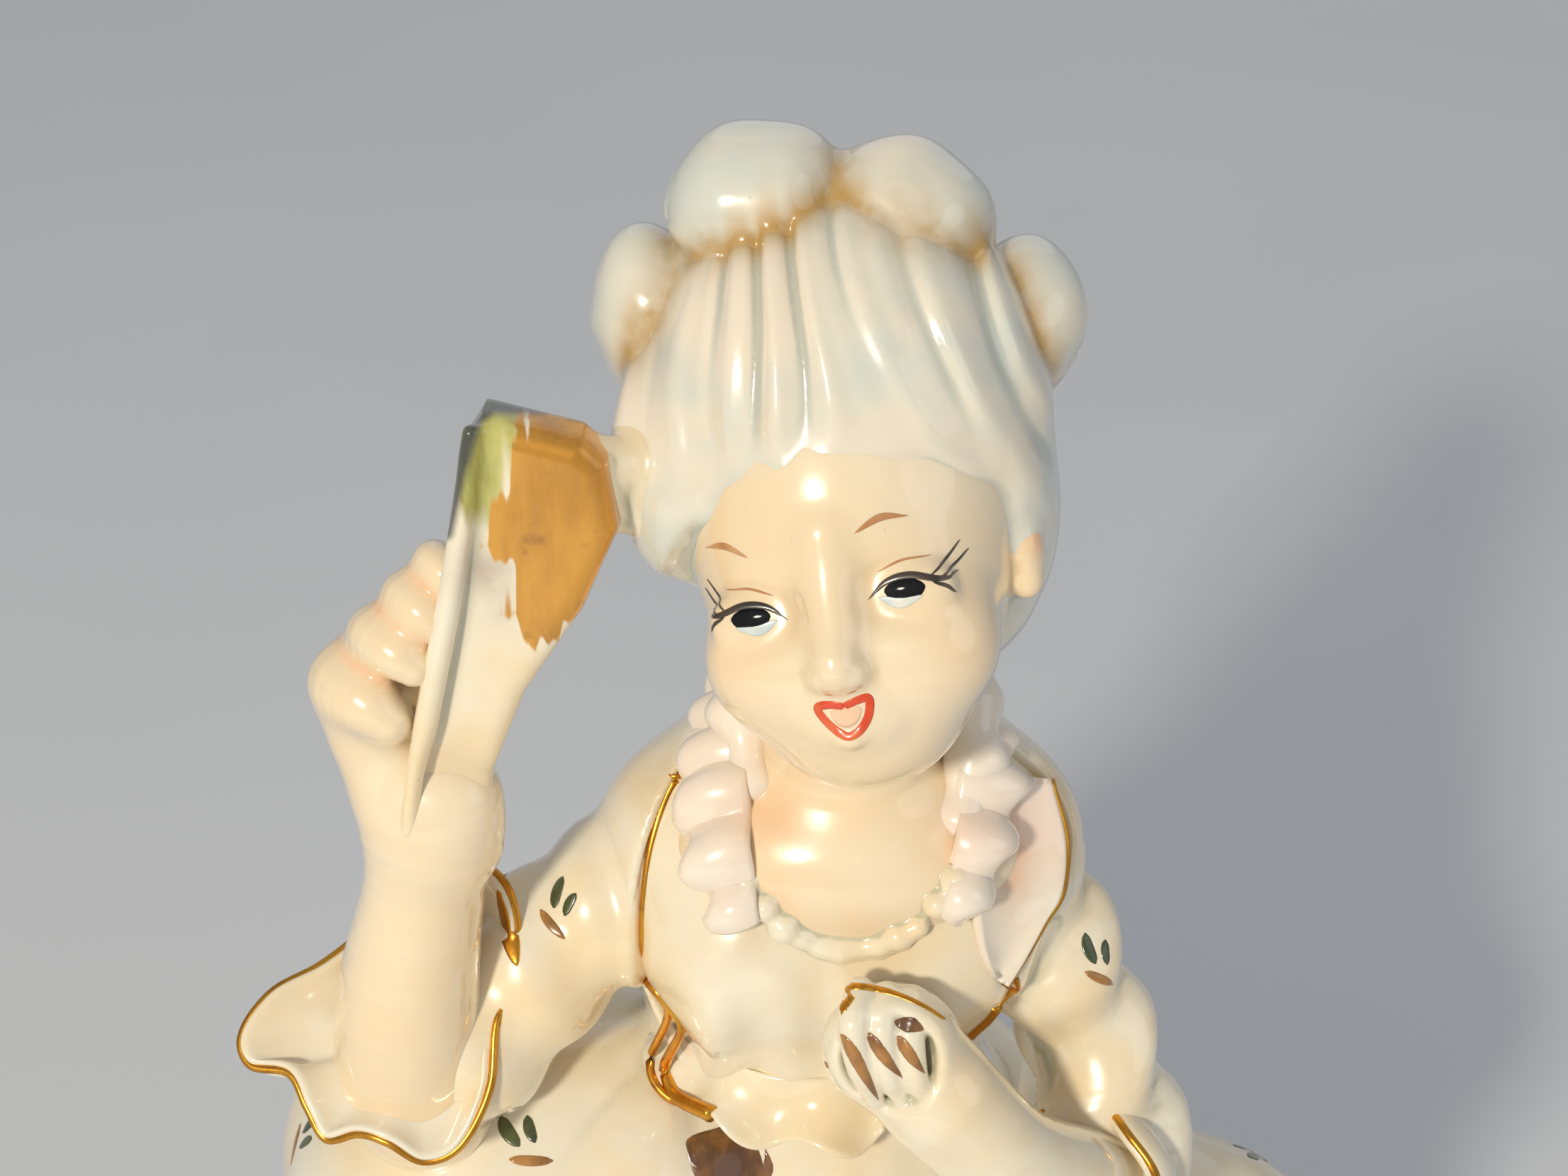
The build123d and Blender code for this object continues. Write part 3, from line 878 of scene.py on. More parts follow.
nose = limb(
    (
        (0, -7.7, 2.6, 0.9), (0, -8.1, 0.6, 0.95), (0, -9.15, -1.7, 0.95), (0, -9.85, -3.05, 1.0),
        (0, -9.2, -3.7, 0.85),
    )
)
face = blend(1.3, face, nose)
face = blend(0.5, face, *[egg((s * 0.85, -9.55, -3.55), (0.5, 0.7, 0.45)) for s in (-1, 1)])
mouth_mound = egg((0, -8.1, -5.9), (2.4, 1.4, 1.7))
lower_lip = limb(((-0.8, -9.1, -6.4, 0.2), (0, -9.35, -6.8, 0.4), (0.8, -9.1, -6.4, 0.2)))
face = blend(0.9, face, mouth_mound)
face = blend(0.5, face, lower_lip)
left_ear = blend(0.4, egg((8.35, 0.2, -1.0), (0.95, 1.5, 2.1)), egg((8.2, -0.3, -2.7), (0.8, 0.9, 0.9)))
face = blend(0.6, face, left_ear)  # the hair covers her right ear
head = to_head(face)


def lock_phase(p):
    """Counts the locks combed up from the brow to the crown, in the head's frame."""
    a = np.arctan2(p[:, 0] - 0.4, 38.0 - p[:, 2])
    return a * 34.0 + 0.55 * np.sin(p[:, 0] * 0.55 + 1.0) + 0.35 * np.sin(p[:, 2] * 0.42 + p[:, 0] * 0.5)


def hair_grooves(p):
    """Broad, uneven locks with soft ridges and narrower valleys."""
    wave = np.sqrt(np.sin(lock_phase(p)) ** 2 + 0.10)
    fine = np.sin(lock_phase(p) * 4.0 + 0.25 * p[:, 2])
    deep = 0.6 + 0.4 * np.sin(p[:, 0] * 0.7 + 2.2)
    front = np.clip((5.0 - p[:, 1]) / 4, 0.3, 1) * np.clip((p[:, 2] + 2) / 6, 0.35, 1)
    front = front * (1 - 0.7 * np.clip((8.5 - p[:, 2]) / 3.5, 0, 1) * np.clip(-p[:, 1] / 3, 0, 1))
    return front * (0.85 * deep * (wave - 0.66) + 0.045 * fine)


hair_form = blend(
    2.5,
    egg((0.1, 2.2, 6.8), (10.3, 9.4, 11.2)),
    egg((0.8, 3.6, 0.5), (9.1, 7.6, 9.4)),
    egg((-7.4, -1.7, 4.6), (3.5, 3.8, 5.0)),
)


def face_window(p):
    """The part of the head that the hair leaves free, in the head's frame."""
    brow = 6.1 - 0.055 * (p[:, 0] - 0.8) ** 2 + 0.25 * np.sin(p[:, 0] * 1.5)
    over_temple = 2.4 * np.clip((-p[:, 0] - 4.0) / 3, 0, 1) * np.clip((p[:, 2] + 0.5) / 3, 0, 1)
    return smooth_max(p[:, 2] - brow, p[:, 1] + 1.5 + 0.28 * p[:, 2] + over_temple, 1.5)


crown = to_head(carve(0.7, grow(hair_form, hair_grooves), face_window))

# the rolls stand round the back of the crown like a coronet: place, half axes, turns
ROLLS = (
    ((-4.4, 1.0, 148.1), (4.4, 4.2, 3.6), (0, -14, 8)),
    ((2.9, 1.0, 147.2), (4.4, 4.2, 3.6), (0, 20, -8)),
    ((-9.5, 1.8, 141.6), (3.1, 4.2, 4.6), (0, -4, 10)),
    ((8.4, 1.8, 141.0), (3.5, 4.2, 4.6), (0, 18, -10)),
    ((-7.6, 6.4, 134.6), (3.2, 4.0, 4.4), (0, 6, 12)),
    ((7.4, 6.4, 134.0), (3.2, 4.0, 4.4), (0, -6, -12)),
)


def roll(place, radii, turns):
    axes = turn(*turns)

    def windings(p):
        q = (p - vec(*place)) @ axes
        a = np.arctan2(q[:, 2] / radii[2], q[:, 1] / radii[1])
        return 0.10 * np.sin(q[:, 0] * 1.3 + a * 2.0)

    return grow(egg(place, radii, axes), windings)


rolls = [roll(*r) for r in ROLLS]
roll_ring = blend(0.9, *rolls)


def strand_waves(p):
    return 0.22 * np.abs(np.sin(p[:, 0] * 1.1 + 0.5 * np.sin(p[:, 2] * 0.5))) - 0.1


chignon = grow(
    blend(
        1.2,
        egg((-3.6, 8.2, 134.5), (4.0, 4.6, 7.4), turn(0, 8, 0)),
        egg((3.0, 8.4, 134.3), (4.0, 4.6, 7.4), turn(0, -8, 0)),
        egg((-0.3, 8.6, 128.6), (6.0, 4.4, 4.0)),
    ),
    strand_waves,
)


def lumpy(rows, pace=1.9, k=1.0, band=0.7, wander=0.3):
    """A soft band along (x, y, z, radius) rows, gathered into lumps that sit now one side, now the other."""
    path = smooth_path(rows, 24)
    steps = np.linalg.norm(np.diff(path[:, :3], axis=0), axis=1)
    run = np.concatenate([[0], np.cumsum(steps)])
    count = max(int(run[-1] / pace), 2)
    picks = np.array(
        [[np.interp(t, run, path[:, i]) for i in range(4)] for t in np.linspace(0, run[-1], count)]
    )
    along = unit(np.gradient(picks[:, :3], axis=0))
    lumps = [limb([(*row[:3], row[3] * band) for row in picks], 1)]
    for i, (row, direction) in enumerate(zip(picks, along)):
        side = unit(np.cross(direction, (0.0, -0.6, 0.8)))
        axes = np.stack([direction, side, np.cross(direction, side)], 1).astype(np.float32)
        size = row[3] * (0.88 + 0.24 * ((i * 7) % 5) / 4)
        lumps.append(egg(row[:3] + side * wander * (-1) ** i, (size * 0.72, size * 1.05, size * 0.85), axes))
    return blend(k, *lumps)


ringlets = {
    "right_ringlet": lumpy(
        (
            (-4.4, 2.6, 126.0, 1.5), (-5.0, -0.6, 122.8, 1.5), (-5.1, -3.4, 120.2, 1.5),
            (-4.9, -5.3, 118.2, 1.1),
        ),
        2.4, 0.9, 0.85,
    ),
    "left_ringlet": lumpy(
        (
            (5.6, 2.6, 125.2, 1.5), (6.7, -1.2, 121.8, 1.7), (6.9, -4.2, 119.0, 1.65),
            (6.3, -6.4, 116.6, 1.3),
        ),
        2.4, 0.9, 0.85,
    ),
}
COLLAR_INNER = (
    (-4.2, -9.6, 113.0), (-4.6, -7.9, 116.2), (-4.7, -5.6, 118.5), (-4.6, -2.6, 120.1),
    (-3.6, 1.6, 120.8), (0.4, 3.2, 121.0), (4.6, 1.6, 120.7), (5.5, -2.6, 120.0), (5.8, -5.8, 118.2),
    (5.6, -8.0, 115.9), (5.0, -9.6, 113.2),
)
COLLAR_OUTER = (
    (-6.2, -9.2, 112.2), (-7.6, -7.6, 114.8), (-8.0, -5.0, 117.0), (-7.2, -1.6, 118.6),
    (-5.8, 3.2, 119.4), (0.4, 5.6, 119.8), (6.6, 3.2, 119.2), (8.5, -1.8, 118.3), (8.8, -5.2, 116.7),
    (7.8, -7.8, 114.6), (6.4, -9.2, 112.4),
)


def front_of(field, x, z, near=-24.0, far=2.0):
    """Where a straight line from the front first meets the surface, at this x and z."""
    y = np.linspace(near, far, 1400, dtype=np.float32)
    d = field(np.stack([np.full_like(y, x), y, np.full_like(y, z)], 1))
    return float(y[np.argmax(d < 0)])


bead_places = []
for x in np.linspace(-5.0, 5.9, 12):
    z = 110.55 + 0.135 * (x - 0.4) ** 2 + 0.15 * sin(x * 3)
    bead_places.append((x, front_of(chest, x, z) - 0.15, z))
neckline_beads = blend(0.55, *[egg(place, 0.62 + 0.12 * (i % 3)) for i, place in enumerate(bead_places)])

# ---- arms and fan -------------------------------------------------------------------------
def creases(points, depth=0.28, pace=1.3):
    """Shallow folds that run round a sleeve along its own length."""
    path = smooth_path(points, 4)[:, :3]
    start, axis = path[0], unit(path[-1] - path[0])

    def wave(p):
        q = p - start
        along = q @ axis
        across = q - along[:, None] * axis
        a = np.arctan2(across[:, 1], across[:, 2] + 0.01)
        return depth * np.sin(along * pace + 1.8 * np.sin(a)) * np.clip(along / 4, 0, 1)

    return wave


RIGHT_SLEEVE = (
    (-7.2, -0.4, 111.2, 4.4), (-12.0, -1.9, 108.7, 4.3), (-17.0, -4.2, 105.2, 4.6),
    (-21.0, -6.6, 101.8, 4.9),
)
LEFT_SLEEVE = (
    (7.6, -0.6, 111.6, 4.5), (10.4, -1.2, 107.0, 4.2), (13.0, -2.2, 102.4, 3.7),
    (15.0, -3.4, 97.6, 3.6), (15.5, -5.2, 93.2, 4.6), (15.2, -7.4, 91.2, 4.6),
)
right_sleeve = grow(limb(RIGHT_SLEEVE), creases(RIGHT_SLEEVE, 0.22))
left_sleeve = grow(limb(LEFT_SLEEVE), creases(LEFT_SLEEVE, 0.5, 0.95))

raised_arm = limb(
    (
        (-23.0, -7.6, 98.5, 4.0), (-23.4, -8.4, 103.0, 4.05), (-22.8, -8.6, 108.5, 3.65),
        (-21.6, -8.4, 114.5, 3.15), (-21.3, -8.2, 119.0, 3.5),
    )
)
hand_back = egg((-23.0, -7.4, 123.2), (3.0, 3.1, 5.0), turn(0, -12, 0))
thumb_root = limb(((-20.0, -8.8, 117.5, 2.6), (-19.2, -9.2, 120.0, 1.9)))
raised_fingers = (
    limb(
        (
            (-24.2, -6.0, 124.8, 1.9), (-24.6, -8.3, 126.4, 1.75), (-23.4, -10.0, 126.4, 1.5),
            (-22.2, -10.6, 125.6, 1.1),
        )
    ),
    limb(
        (
            (-22.6, -6.0, 127.4, 1.7), (-22.8, -8.4, 129.2, 1.5), (-21.8, -9.9, 129.2, 1.3),
            (-20.8, -10.3, 128.5, 1.0),
        )
    ),
    limb(
        (
            (-21.0, -6.2, 129.9, 1.4), (-21.2, -8.3, 131.3, 1.25), (-20.4, -9.6, 131.2, 1.05),
            (-19.7, -9.9, 130.6, 0.8),
        )
    ),
    limb(
        (
            (-19.8, -6.4, 132.0, 1.15), (-19.8, -8.1, 133.1, 1.0), (-19.2, -9.1, 133.0, 0.85),
            (-18.8, -9.4, 132.6, 0.6),
        )
    ),
)
palm_hollow = egg((-18.9, -12.1, 121.8), (1.9, 1.8, 3.4), turn(0, 8, 0))
knuckles = blend(1.15, *raised_fingers)
right_arm = blend(1.7, blend(1.8, raised_arm, hand_back, thumb_root), knuckles)

FAN = (
    (-22.2, 117.0), (-21.2, 124.0), (-19.6, 132.0), (-18.1, 139.6), (-17.0, 141.3), (-12.2, 140.0),
    (-11.0, 138.8), (-10.5, 135.2), (-12.4, 130.9), (-15.4, 126.4), (-17.2, 122.0), (-17.8, 117.0),
)


def outline_distance(x, z, corners):
    """Distance to a closed outline in the X-Z plane, less than nothing inside."""
    best = np.full(len(x), 1e3, np.float32)
    inside = np.zeros(len(x), bool)
    for (ax, az), (bx, bz) in zip(corners, corners[1:] + corners[:1]):
        ex, ez = bx - ax, bz - az
        t = np.clip(((x - ax) * ex + (z - az) * ez) / (ex * ex + ez * ez), 0, 1)
        best = np.minimum(best, np.hypot(x - ax - t * ex, z - az - t * ez))
        crosses = (az > z) != (bz > z)
        inside ^= crosses & (x < ax + (z - az) / (ez if ez else 1e-9) * ex)
    return np.where(inside, -best, best).astype(np.float32)


def fan_slab(p):
    z = p[:, 2]
    middle = -8.7 + 0.055 * (z - 118)
    half = 2.1 - 0.022 * (z - 118)
    side = outline_distance(p[:, 0], z, FAN) + 0.25
    return smooth_max(side, np.abs(p[:, 1] - middle) - half, 1.2)


fan_ridge = limb(
    (
        (-21.6, -11.2, 119.5, 0.55), (-20.4, -10.9, 125.5, 0.6), (-19.0, -10.3, 131.5, 0.6),
        (-17.9, -9.6, 137.0, 0.5), (-17.4, -9.2, 140.4, 0.4),
    )
)
fan = carve(1.2, blend(0.7, fan_slab, fan_ridge), palm_hollow)
fan_stay = limb(((-12.4, -6.8, 137.4, 1.5), (-10.8, -6.0, 137.2, 1.4), (-9.4, -4.6, 137.0, 1.4)))
fan_stay = blend(
    1.4, fan_stay,
    limb(((-12.4, -6.8, 135.2, 1.2), (-10.8, -6.0, 134.8, 1.2), (-9.4, -4.6, 134.4, 1.2))),
)

left_forearm = limb(
    (
        (15.2, -7.4, 91.8, 3.5), (12.6, -10.4, 95.0, 3.2), (8.9, -12.6, 99.0, 3.0),
        (5.2, -13.0, 103.6, 3.2),
    )
)
cup_axes = turn(28, 6, 0)
cup_outer = egg((2.6, -12.4, 106.5), (3.7, 3.1, 4.4), cup_axes)
cup_hollow = egg((2.3, -15.4, 107.7), (2.6, 2.6, 3.1), cup_axes)
left_fingers = [
    limb(
        (
            (0.9 + 1.35 * i, -12.6, 110.3 - 0.3 * i, 0.8),
            (0.5 + 1.45 * i, -14.2, 109.6 - 0.35 * i, 0.78),
            (0.9 + 1.4 * i, -14.9, 107.2 - 0.3 * i, 0.7),
            (1.7 + 1.3 * i, -14.6, 105.0 + 0.15 * i, 0.5),
        )
    )
    for i in range(3)
]
left_arm = blend(0.35, carve(0.7, blend(1.6, left_forearm, cup_outer), cup_hollow), *left_fingers)

# ---- build the pieces ---------------------------------------------------------------------
def piece(made, *nodes, slot="dress_glaze"):
    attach(made, "root")
    if nodes:
        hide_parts(*nodes)
    return made


def add_mark(made, name, mark, read):
    points = surfaces[name][0].astype(np.float32)
    made.data.attributes.new(mark, "FLOAT", "POINT").data.foreach_set(
        "value", np.asarray(read(points), np.float32)
    )
    return made


def near_to(centre, reach):
    centre = vec(*centre)
    return lambda p: np.exp(-((p - centre) ** 2).sum(1) / reach**2)


def patches(*spots):
    """A tint mark of soft patches: (x, y, z, reach, share)."""
    return lambda p: np.clip(
        sum(share * near_to((x, y, z), reach)(p) for x, y, z, reach, share in spots), 0, 1
    )


def valley(forms, width):
    """A tint mark in the seam between neighbouring forms, where it serves as painted shade."""

    def read(p):
        d = np.sort(np.stack([f(p) for f in forms]), 0)
        return np.exp(-(((d[1] - d[0]) / width) ** 2)) * np.exp(-np.clip(d[1] - 0.2, 0, 9) / width)

    return read


# the head's tint: peach on the cheeks and the ear, and a patch of painted shade under the nose
piece(
    sculpt(
        "head", head, (-11, -17, 118), (11, 8, 144), 0.2, skin_glaze,
        tint=patches(
            (*at_head(-4.6, -8.2, -4.4), 2.2, 0.16), (*at_head(4.6, -8.2, -4.4), 2.2, 0.22),
            (*at_head(8.9, -0.6, -0.6), 0.9, 0.9), (*at_head(0, -10.6, -4.6), 0.8, 0.25),
        ),
    ),
    "head", slot="skin_glaze",
)
# painted shade in the seams where the rolls meet the crown
shade_under_rolls = valley([crown, *rolls], 1.5)
piece(
    sculpt(
        "hair_crown", seated(crown, 0.5, head, reach=3.5, under=0.05), (-12, -15, 119), (12, 12, 152),
        0.2, hair_glaze, tint=shade_under_rolls,
    ),
    "hair_crown", slot="hair_glaze",
)
piece(sculpt("hair_rolls", seated(roll_ring, 0.7, crown), (-14, -6, 128), (14, 8, 153), 0.2, hair_glaze,
    tint=shade_under_rolls), *[f"hair_roll_{i}" for i in range(1, 7)], slot="hair_glaze")
piece(sculpt("chignon", seated(chignon, 0.8, crown), (-9, 2, 122), (9, 15, 144), 0.25, hair_glaze),
    "chignon", slot="hair_glaze")
for name, form in ringlets.items():
    side = -1 if "right" in name else 1
    piece(
        sculpt(name, form, (side * 7 - 5, -9, 114), (side * 7 + 5, 5, 130), 0.16, frill_glaze),
        slot="hair_glaze",
    )
# the bust's tint is painted shade beside the collar, the ringlets and the neckline beads
piece(
    sculpt(
        "bust", seated(chest, 0.6, head, reach=3), (-11, -12, 106), (12, 6, 131), 0.22, skin_glaze,
        tint=patches(
            (-3.8, -7.5, 117.8, 1.8, 0.7), (5.4, -8.0, 116.0, 1.6, 0.4), (-3.6, -9.6, 113.4, 1.4, 0.5),
            (2.0, -10.2, 112.2, 2.0, 0.25),
        ),
    ),
    "bust", slot="skin_glaze",
)
# the bodice's tint is painted shade under the neckline beads and beside the collar
piece(sculpt("bodice", bodice, (-14, -13, 89), (15, 12, 123), 0.25, white_glaze, tint=patches(
    (0.5, -11, 111.0, 3.5, 0.35), (-5, -9, 112.0, 2.0, 0.3))), "bodice")
piece(
    sculpt(
        "neckline_beads", seated(neckline_beads, 0.35, chest, bodice, reach=0.6), (-7, -14, 108),
        (8, -5, 118), 0.14, white_glaze,
    ),
    "neckline_edging",
)
# the jacket's tint is painted shade under the collar on her right and under the left lapel
piece(sculpt("jacket", jacket, (-17, -13, 89), (18, 13, 123), 0.28, white_glaze, tint=patches(
    (-8.6, -4, 117.0, 2.4, 0.5), (9.6, -5.5, 114.0, 2.6, 0.3))), "right_lapel")
inner, outer = smooth_path(COLLAR_INNER, 26).astype(float), smooth_path(COLLAR_OUTER, 26).astype(float)
along = unit(np.gradient(inner + outer, axis=0))
lift = unit(np.cross(outer - inner, along))
lift = lift * np.where(lift[:, 2:] < 0, -1.0, 1.0)
run = np.cumsum(np.linalg.norm(np.gradient(outer, axis=0), axis=1))
FLUTE = 2.9  # from one flute of the collar to the next
flutes = np.sin(run * 2 * pi / FLUTE + 0.6 * np.sin(run * 0.7))
waves = 0.35 * np.cos(run * 2 * pi / FLUTE)
inner = inner + lift * (0.15 + 0.2 * flutes)[:, None]
outer = outer + lift * (0.35 + 0.6 * flutes)[:, None] + unit(outer - inner) * waves[:, None]
collar = ribbon("collar_frill", inner, outer, 1.15, frill_glaze, arch=0.35, across=14)
# the collar's tint is painted shade, mostly on its inner side next to the neck
add_mark(
    collar, "collar_frill", "tint",
    patches((-4.3, -7.0, 117.0, 1.6, 0.7), (5.4, -7.4, 116.2, 1.6, 0.4), (-7.4, -3.0, 119.6, 1.2, 0.3)),
)
piece(collar, "collar_frill")
# the sleeve's tint is painted shade on its underside by the cuff
piece(
    sculpt(
        "right_sleeve", seated(right_sleeve, 1.2, jacket), (-28, -13, 95), (-2, 6, 118), 0.25,
        white_glaze, tint=patches((-16.5, -6, 100.5, 2.0, 0.6)),
    ),
    "right_sleeve",
)
# the sleeve's tint is painted shade on its inner side, beside the body
piece(
    sculpt(
        "left_sleeve", seated(left_sleeve, 1.2, jacket), (3, -14, 85), (24, 6, 119), 0.28, white_glaze,
        tint=patches((12.0, -6, 99.0, 2.0, 0.25)),
    ),
    "left_sleeve",
)
# painted shade in the gaps between the raised hand's fingers
finger_gap_shade = valley(list(raised_fingers), 0.7)
piece(
    sculpt(
        "right_arm", right_arm, (-29, -14, 92), (-16, -1, 136), 0.2, skin_glaze,
        tint=lambda p: finger_gap_shade(p) * 0.9,
    ),
    "right_forearm", "right_hand", slot="skin_glaze",
)
piece(sculpt("left_arm", left_arm, (-3, -18, 88), (21, -3, 113), 0.18, white_glaze),
    "left_forearm", "left_hand", slot="skin_glaze")


def seen_at(p, y=-9.5):
    """Where the painter sees these points, carried to one upright plane: its x and z."""
    q = PAINTER + (p - PAINTER) * ((y - PAINTER[1]) / (p[:, 1] - PAINTER[1]))[:, None]
    return q[:, 0], q[:, 2]


FAN_GOLD = (
    (-17.3, 134.6), (-15.9, 137.8), (-14.3, 144.0), (-9.0, 144.0), (-8.6, 137.0), (-11.2, 133.0),
    (-13.0, 130.6), (-14.9, 129.0), (-16.2, 130.9), (-15.7, 133.6),
)
# painted reflections on the fan's gold: an olive band on its upper left, and a dark line along its edge
FAN_OLIVE_REFLECTION = ((-18.4, 137.0), (-18.4, 144.0), (-14.3, 144.0), (-15.9, 137.8), (-16.9, 135.6))
FAN_DARK_EDGE = ((-18.9, 135.4), (-18.1, 138.4), (-17.2, 141.2), (-16.3, 142.0), (-14.0, 141.9))


def filled(corners, soft):
    def read(p):
        x, z = seen_at(p)
        d = outline_distance(x, z, corners) + 0.25 * np.sin(x * 5.1 + 1.0) + 0.15 * np.sin(x * 11.0)
        return np.clip(0.5 - d / soft, 0, 1)

    return read


def traced(corners, width):
    def read(p):
        x, z = seen_at(p)
        best = np.full(len(p), 9.0)
        for (ax, az), (bx, bz) in zip(corners, corners[1:]):
            ex, ez = bx - ax, bz - az
            t = np.clip(((x - ax) * ex + (z - az) * ez) / (ex * ex + ez * ez), 0, 1)
            best = np.minimum(best, np.hypot(x - ax - t * ex, z - az - t * ez))
        return np.clip(1.6 - best / width * 1.6, 0, 1) * 0.9

    return read


# the fan's tint: greyish brown where the gold thins at its lower edge, and painted shade in the palm's hollow
piece(
    sculpt(
        "fan", fan, (-24, -13, 115), (-9, -4, 143), 0.14, fan_paint,
        tint=patches(
            (-17.2, -9.6, 133.2, 1.5, 0.75), (-18.6, -10.4, 121.8, 1.6, 0.35),
            (-16.6, -9.0, 131.0, 1.2, 0.3),
        ),
        gilt=filled(FAN_GOLD, 1.0), olive=filled(FAN_OLIVE_REFLECTION, 0.8), ink=traced(FAN_DARK_EDGE, 0.55),
    ),
    "fan", slot="gilding",
)
piece(
    sculpt(
        "fan_stay", seated(fan_stay, 0.8, fan, crown), (-15, -10, 131), (-4, -2, 142), 0.2, white_glaze
    ),
    "fan_stay",
)
piece(sculpt("skirt", skirt, (-40, -34, 6), (40, 34, 101), 0.7, white_glaze, hollow=1.2), "skirt_shell")
for side, word in ((-1, "right"), (1, "left")):
    low, high = ((-44, -38, 18), (3, 38, 95)) if side < 0 else ((-3, -38, 18), (44, 38, 95))
    piece(sculpt(f"{word}_drape", drape(side), low, high, 0.6, white_glaze, hollow=1.2), f"{word}_drape")
    drop = PANNIER_DROP[side]
    low, high = (min(0, 36 * side), -18, 74 - drop), (max(0, 36 * side), 18, 101 - drop)
    puff = seated(pannier(side), 2.4, skirt, drape(side), reach=3.2, under=0.4)
    piece(sculpt(f"{word}_pannier", puff, low, high, 0.4, white_glaze, hollow=1.0), f"{word}_pannier")
piece(sculpt("base", base, (-49, -43, -2), (49, 43, 11), 0.55, white_glaze), "base_plinth", slot="base_glaze")

# ---- cuffs, hem and edges -----------------------------------------------------------------
CUFF_RIM = (
    (-18.0, -5.5, 111.3), (-17.5, -7.0, 107.6), (-18.6, -9.4, 105.0), (-19.0, -11.2, 102.6),
    (-20.4, -12.8, 100.4), (-22.2, -13.3, 99.9), (-23.9, -13.1, 101.0), (-25.4, -12.6, 101.1),
    (-27.2, -12.2, 100.3), (-28.2, -11.2, 101.5), (-29.2, -10.0, 102.6), (-31.4, -9.4, 102.6),
    (-32.0, -8.2, 103.6), (-30.6, -6.6, 105.0), (-28.2, -5.2, 105.6), (-26.2, -3.8, 106.6),
    (-23.8, -3.0, 108.6), (-21.0, -2.9, 111.2),
)
CUFF_ROOT_CENTRE = np.array((-22.8, -7.6, 102.2))


root_direction = np.array((0.05, 0.15, 0.99))
rim = loop_path(CUFF_RIM, 10)
spoke = rim - CUFF_ROOT_CENTRE
spoke = spoke - np.outer(spoke @ root_direction, root_direction)
root = CUFF_ROOT_CENTRE + unit(spoke) * 3.4 + np.outer(
    0.25 * ((rim - CUFF_ROOT_CENTRE) @ root_direction), root_direction
)
piece(ribbon("right_cuff", root, rim, 0.95, white_glaze, closed=True, arch=-0.5, across=16), "right_cuff")
piece(cord("right_cuff_gilding", rim + unit(rim - root) * 0.42, 0.24, gold, closed=True), slot="gilding")

LEFT_ROOT_CENTRE, LEFT_RIM_CENTRE = np.array((14.8, -8.4, 92.4)), np.array((13.2, -10.0, 94.2))
left_axes = np.array(Vector((-0.45, -0.48, 0.75)).to_track_quat("Z", "Y").to_matrix())
t = np.linspace(0, 2 * pi, 120, endpoint=False)
circle = np.outer(np.cos(t), left_axes[:, 0]) + np.outer(np.sin(t), left_axes[:, 1])
left_root = LEFT_ROOT_CENTRE + circle * 3.9
left_rim = LEFT_RIM_CENTRE + circle * (4.5 + 0.25 * np.sin(4 * t))[:, None] + np.outer(
    0.35 * np.cos(5 * t), left_axes[:, 2]
)
piece(ribbon("left_cuff", left_root, left_rim, 1.0, white_glaze, closed=True, arch=0.4), "left_cuff")
piece(
    cord("left_cuff_gilding", left_rim + unit(left_rim - left_root) * 0.3, 0.25, gold, closed=True),
    slot="gilding",
)

a = np.linspace(0, 2 * pi, 360, endpoint=False)
hem_in = np.stack([34.6 * np.sin(a), -28.8 * np.cos(a), np.full(360, 16.5)], 1)
hem_wave = 1.2 * np.sin(26 * a)
hem_out = np.stack(
    [(37.4 + hem_wave) * np.sin(a), -(31.4 + hem_wave) * np.cos(a), 10.2 + 0.25 * np.cos(26 * a)], 1
)
piece(ribbon("hem_flounce", hem_in, hem_out, 1.2, white_glaze, closed=True, arch=0.8), "hem_flounce")
piece(cord("hem_gilding", hem_out + np.array((0, 0, -0.35)), 0.42, gold, closed=True), slot="gilding")

# ---- lapel and peplum ---------------------------------------------------------------------
lapel_inner = smooth_path(
    (
        (7.9, -4.6, 118.6), (7.0, -6.8, 115.6), (6.9, -8.2, 112.6), (7.2, -8.9, 110.6),
        (7.7, -9.2, 109.2), (8.1, -9.2, 108.5),
    ),
    8,
)
lapel_outer = smooth_path(
    (
        (10.9, -2.6, 116.6), (11.7, -4.3, 113.7), (11.5, -5.6, 111.3), (10.6, -6.8, 110.3),
        (9.5, -8.0, 108.9), (8.5, -9.0, 107.9),
    ),
    8,
)
lapel = ribbon("left_lapel", lapel_inner, lapel_outer, 0.75, lapel_glaze, arch=-0.45, across=14)
# the lapel's tint is painted shade in the hollow of its upper part
add_mark(
    lapel, "left_lapel", "tint",
    patches((9.0, -6.0, 114.6, 1.7, 0.75), (9.0, -7.2, 112.4, 1.4, 0.5), (8.2, -5.4, 116.8, 1.2, 0.5)),
)
piece(lapel, "left_lapel")

peplum_angles = np.radians(np.linspace(-74, 22, 90))
peplum_wave = np.sin(peplum_angles * 11.5 + 0.4)
peplum_top = np.stack(
    [-1.2 + 9.2 * np.sin(peplum_angles), 0.8 - 8.6 * np.cos(peplum_angles), np.full(90, 100.2)], 1
)
peplum_low = np.stack(
    [
        -1.2 + (10.3 + 0.5 * peplum_wave) * np.sin(peplum_angles),
        0.8 - (10.6 + 0.5 * peplum_wave) * np.cos(peplum_angles),
        97.1 + 0.55 * np.cos(peplum_angles * 11.5 + 0.4) + 1.1 * np.abs(np.sin(peplum_angles)),
    ],
    1,
)
piece(ribbon("stomacher_hem", peplum_top, peplum_low, 0.9, white_glaze, arch=0.5, across=14), "stomacher")

# ---- painting -----------------------------------------------------------------------------
on_head = tree("head")


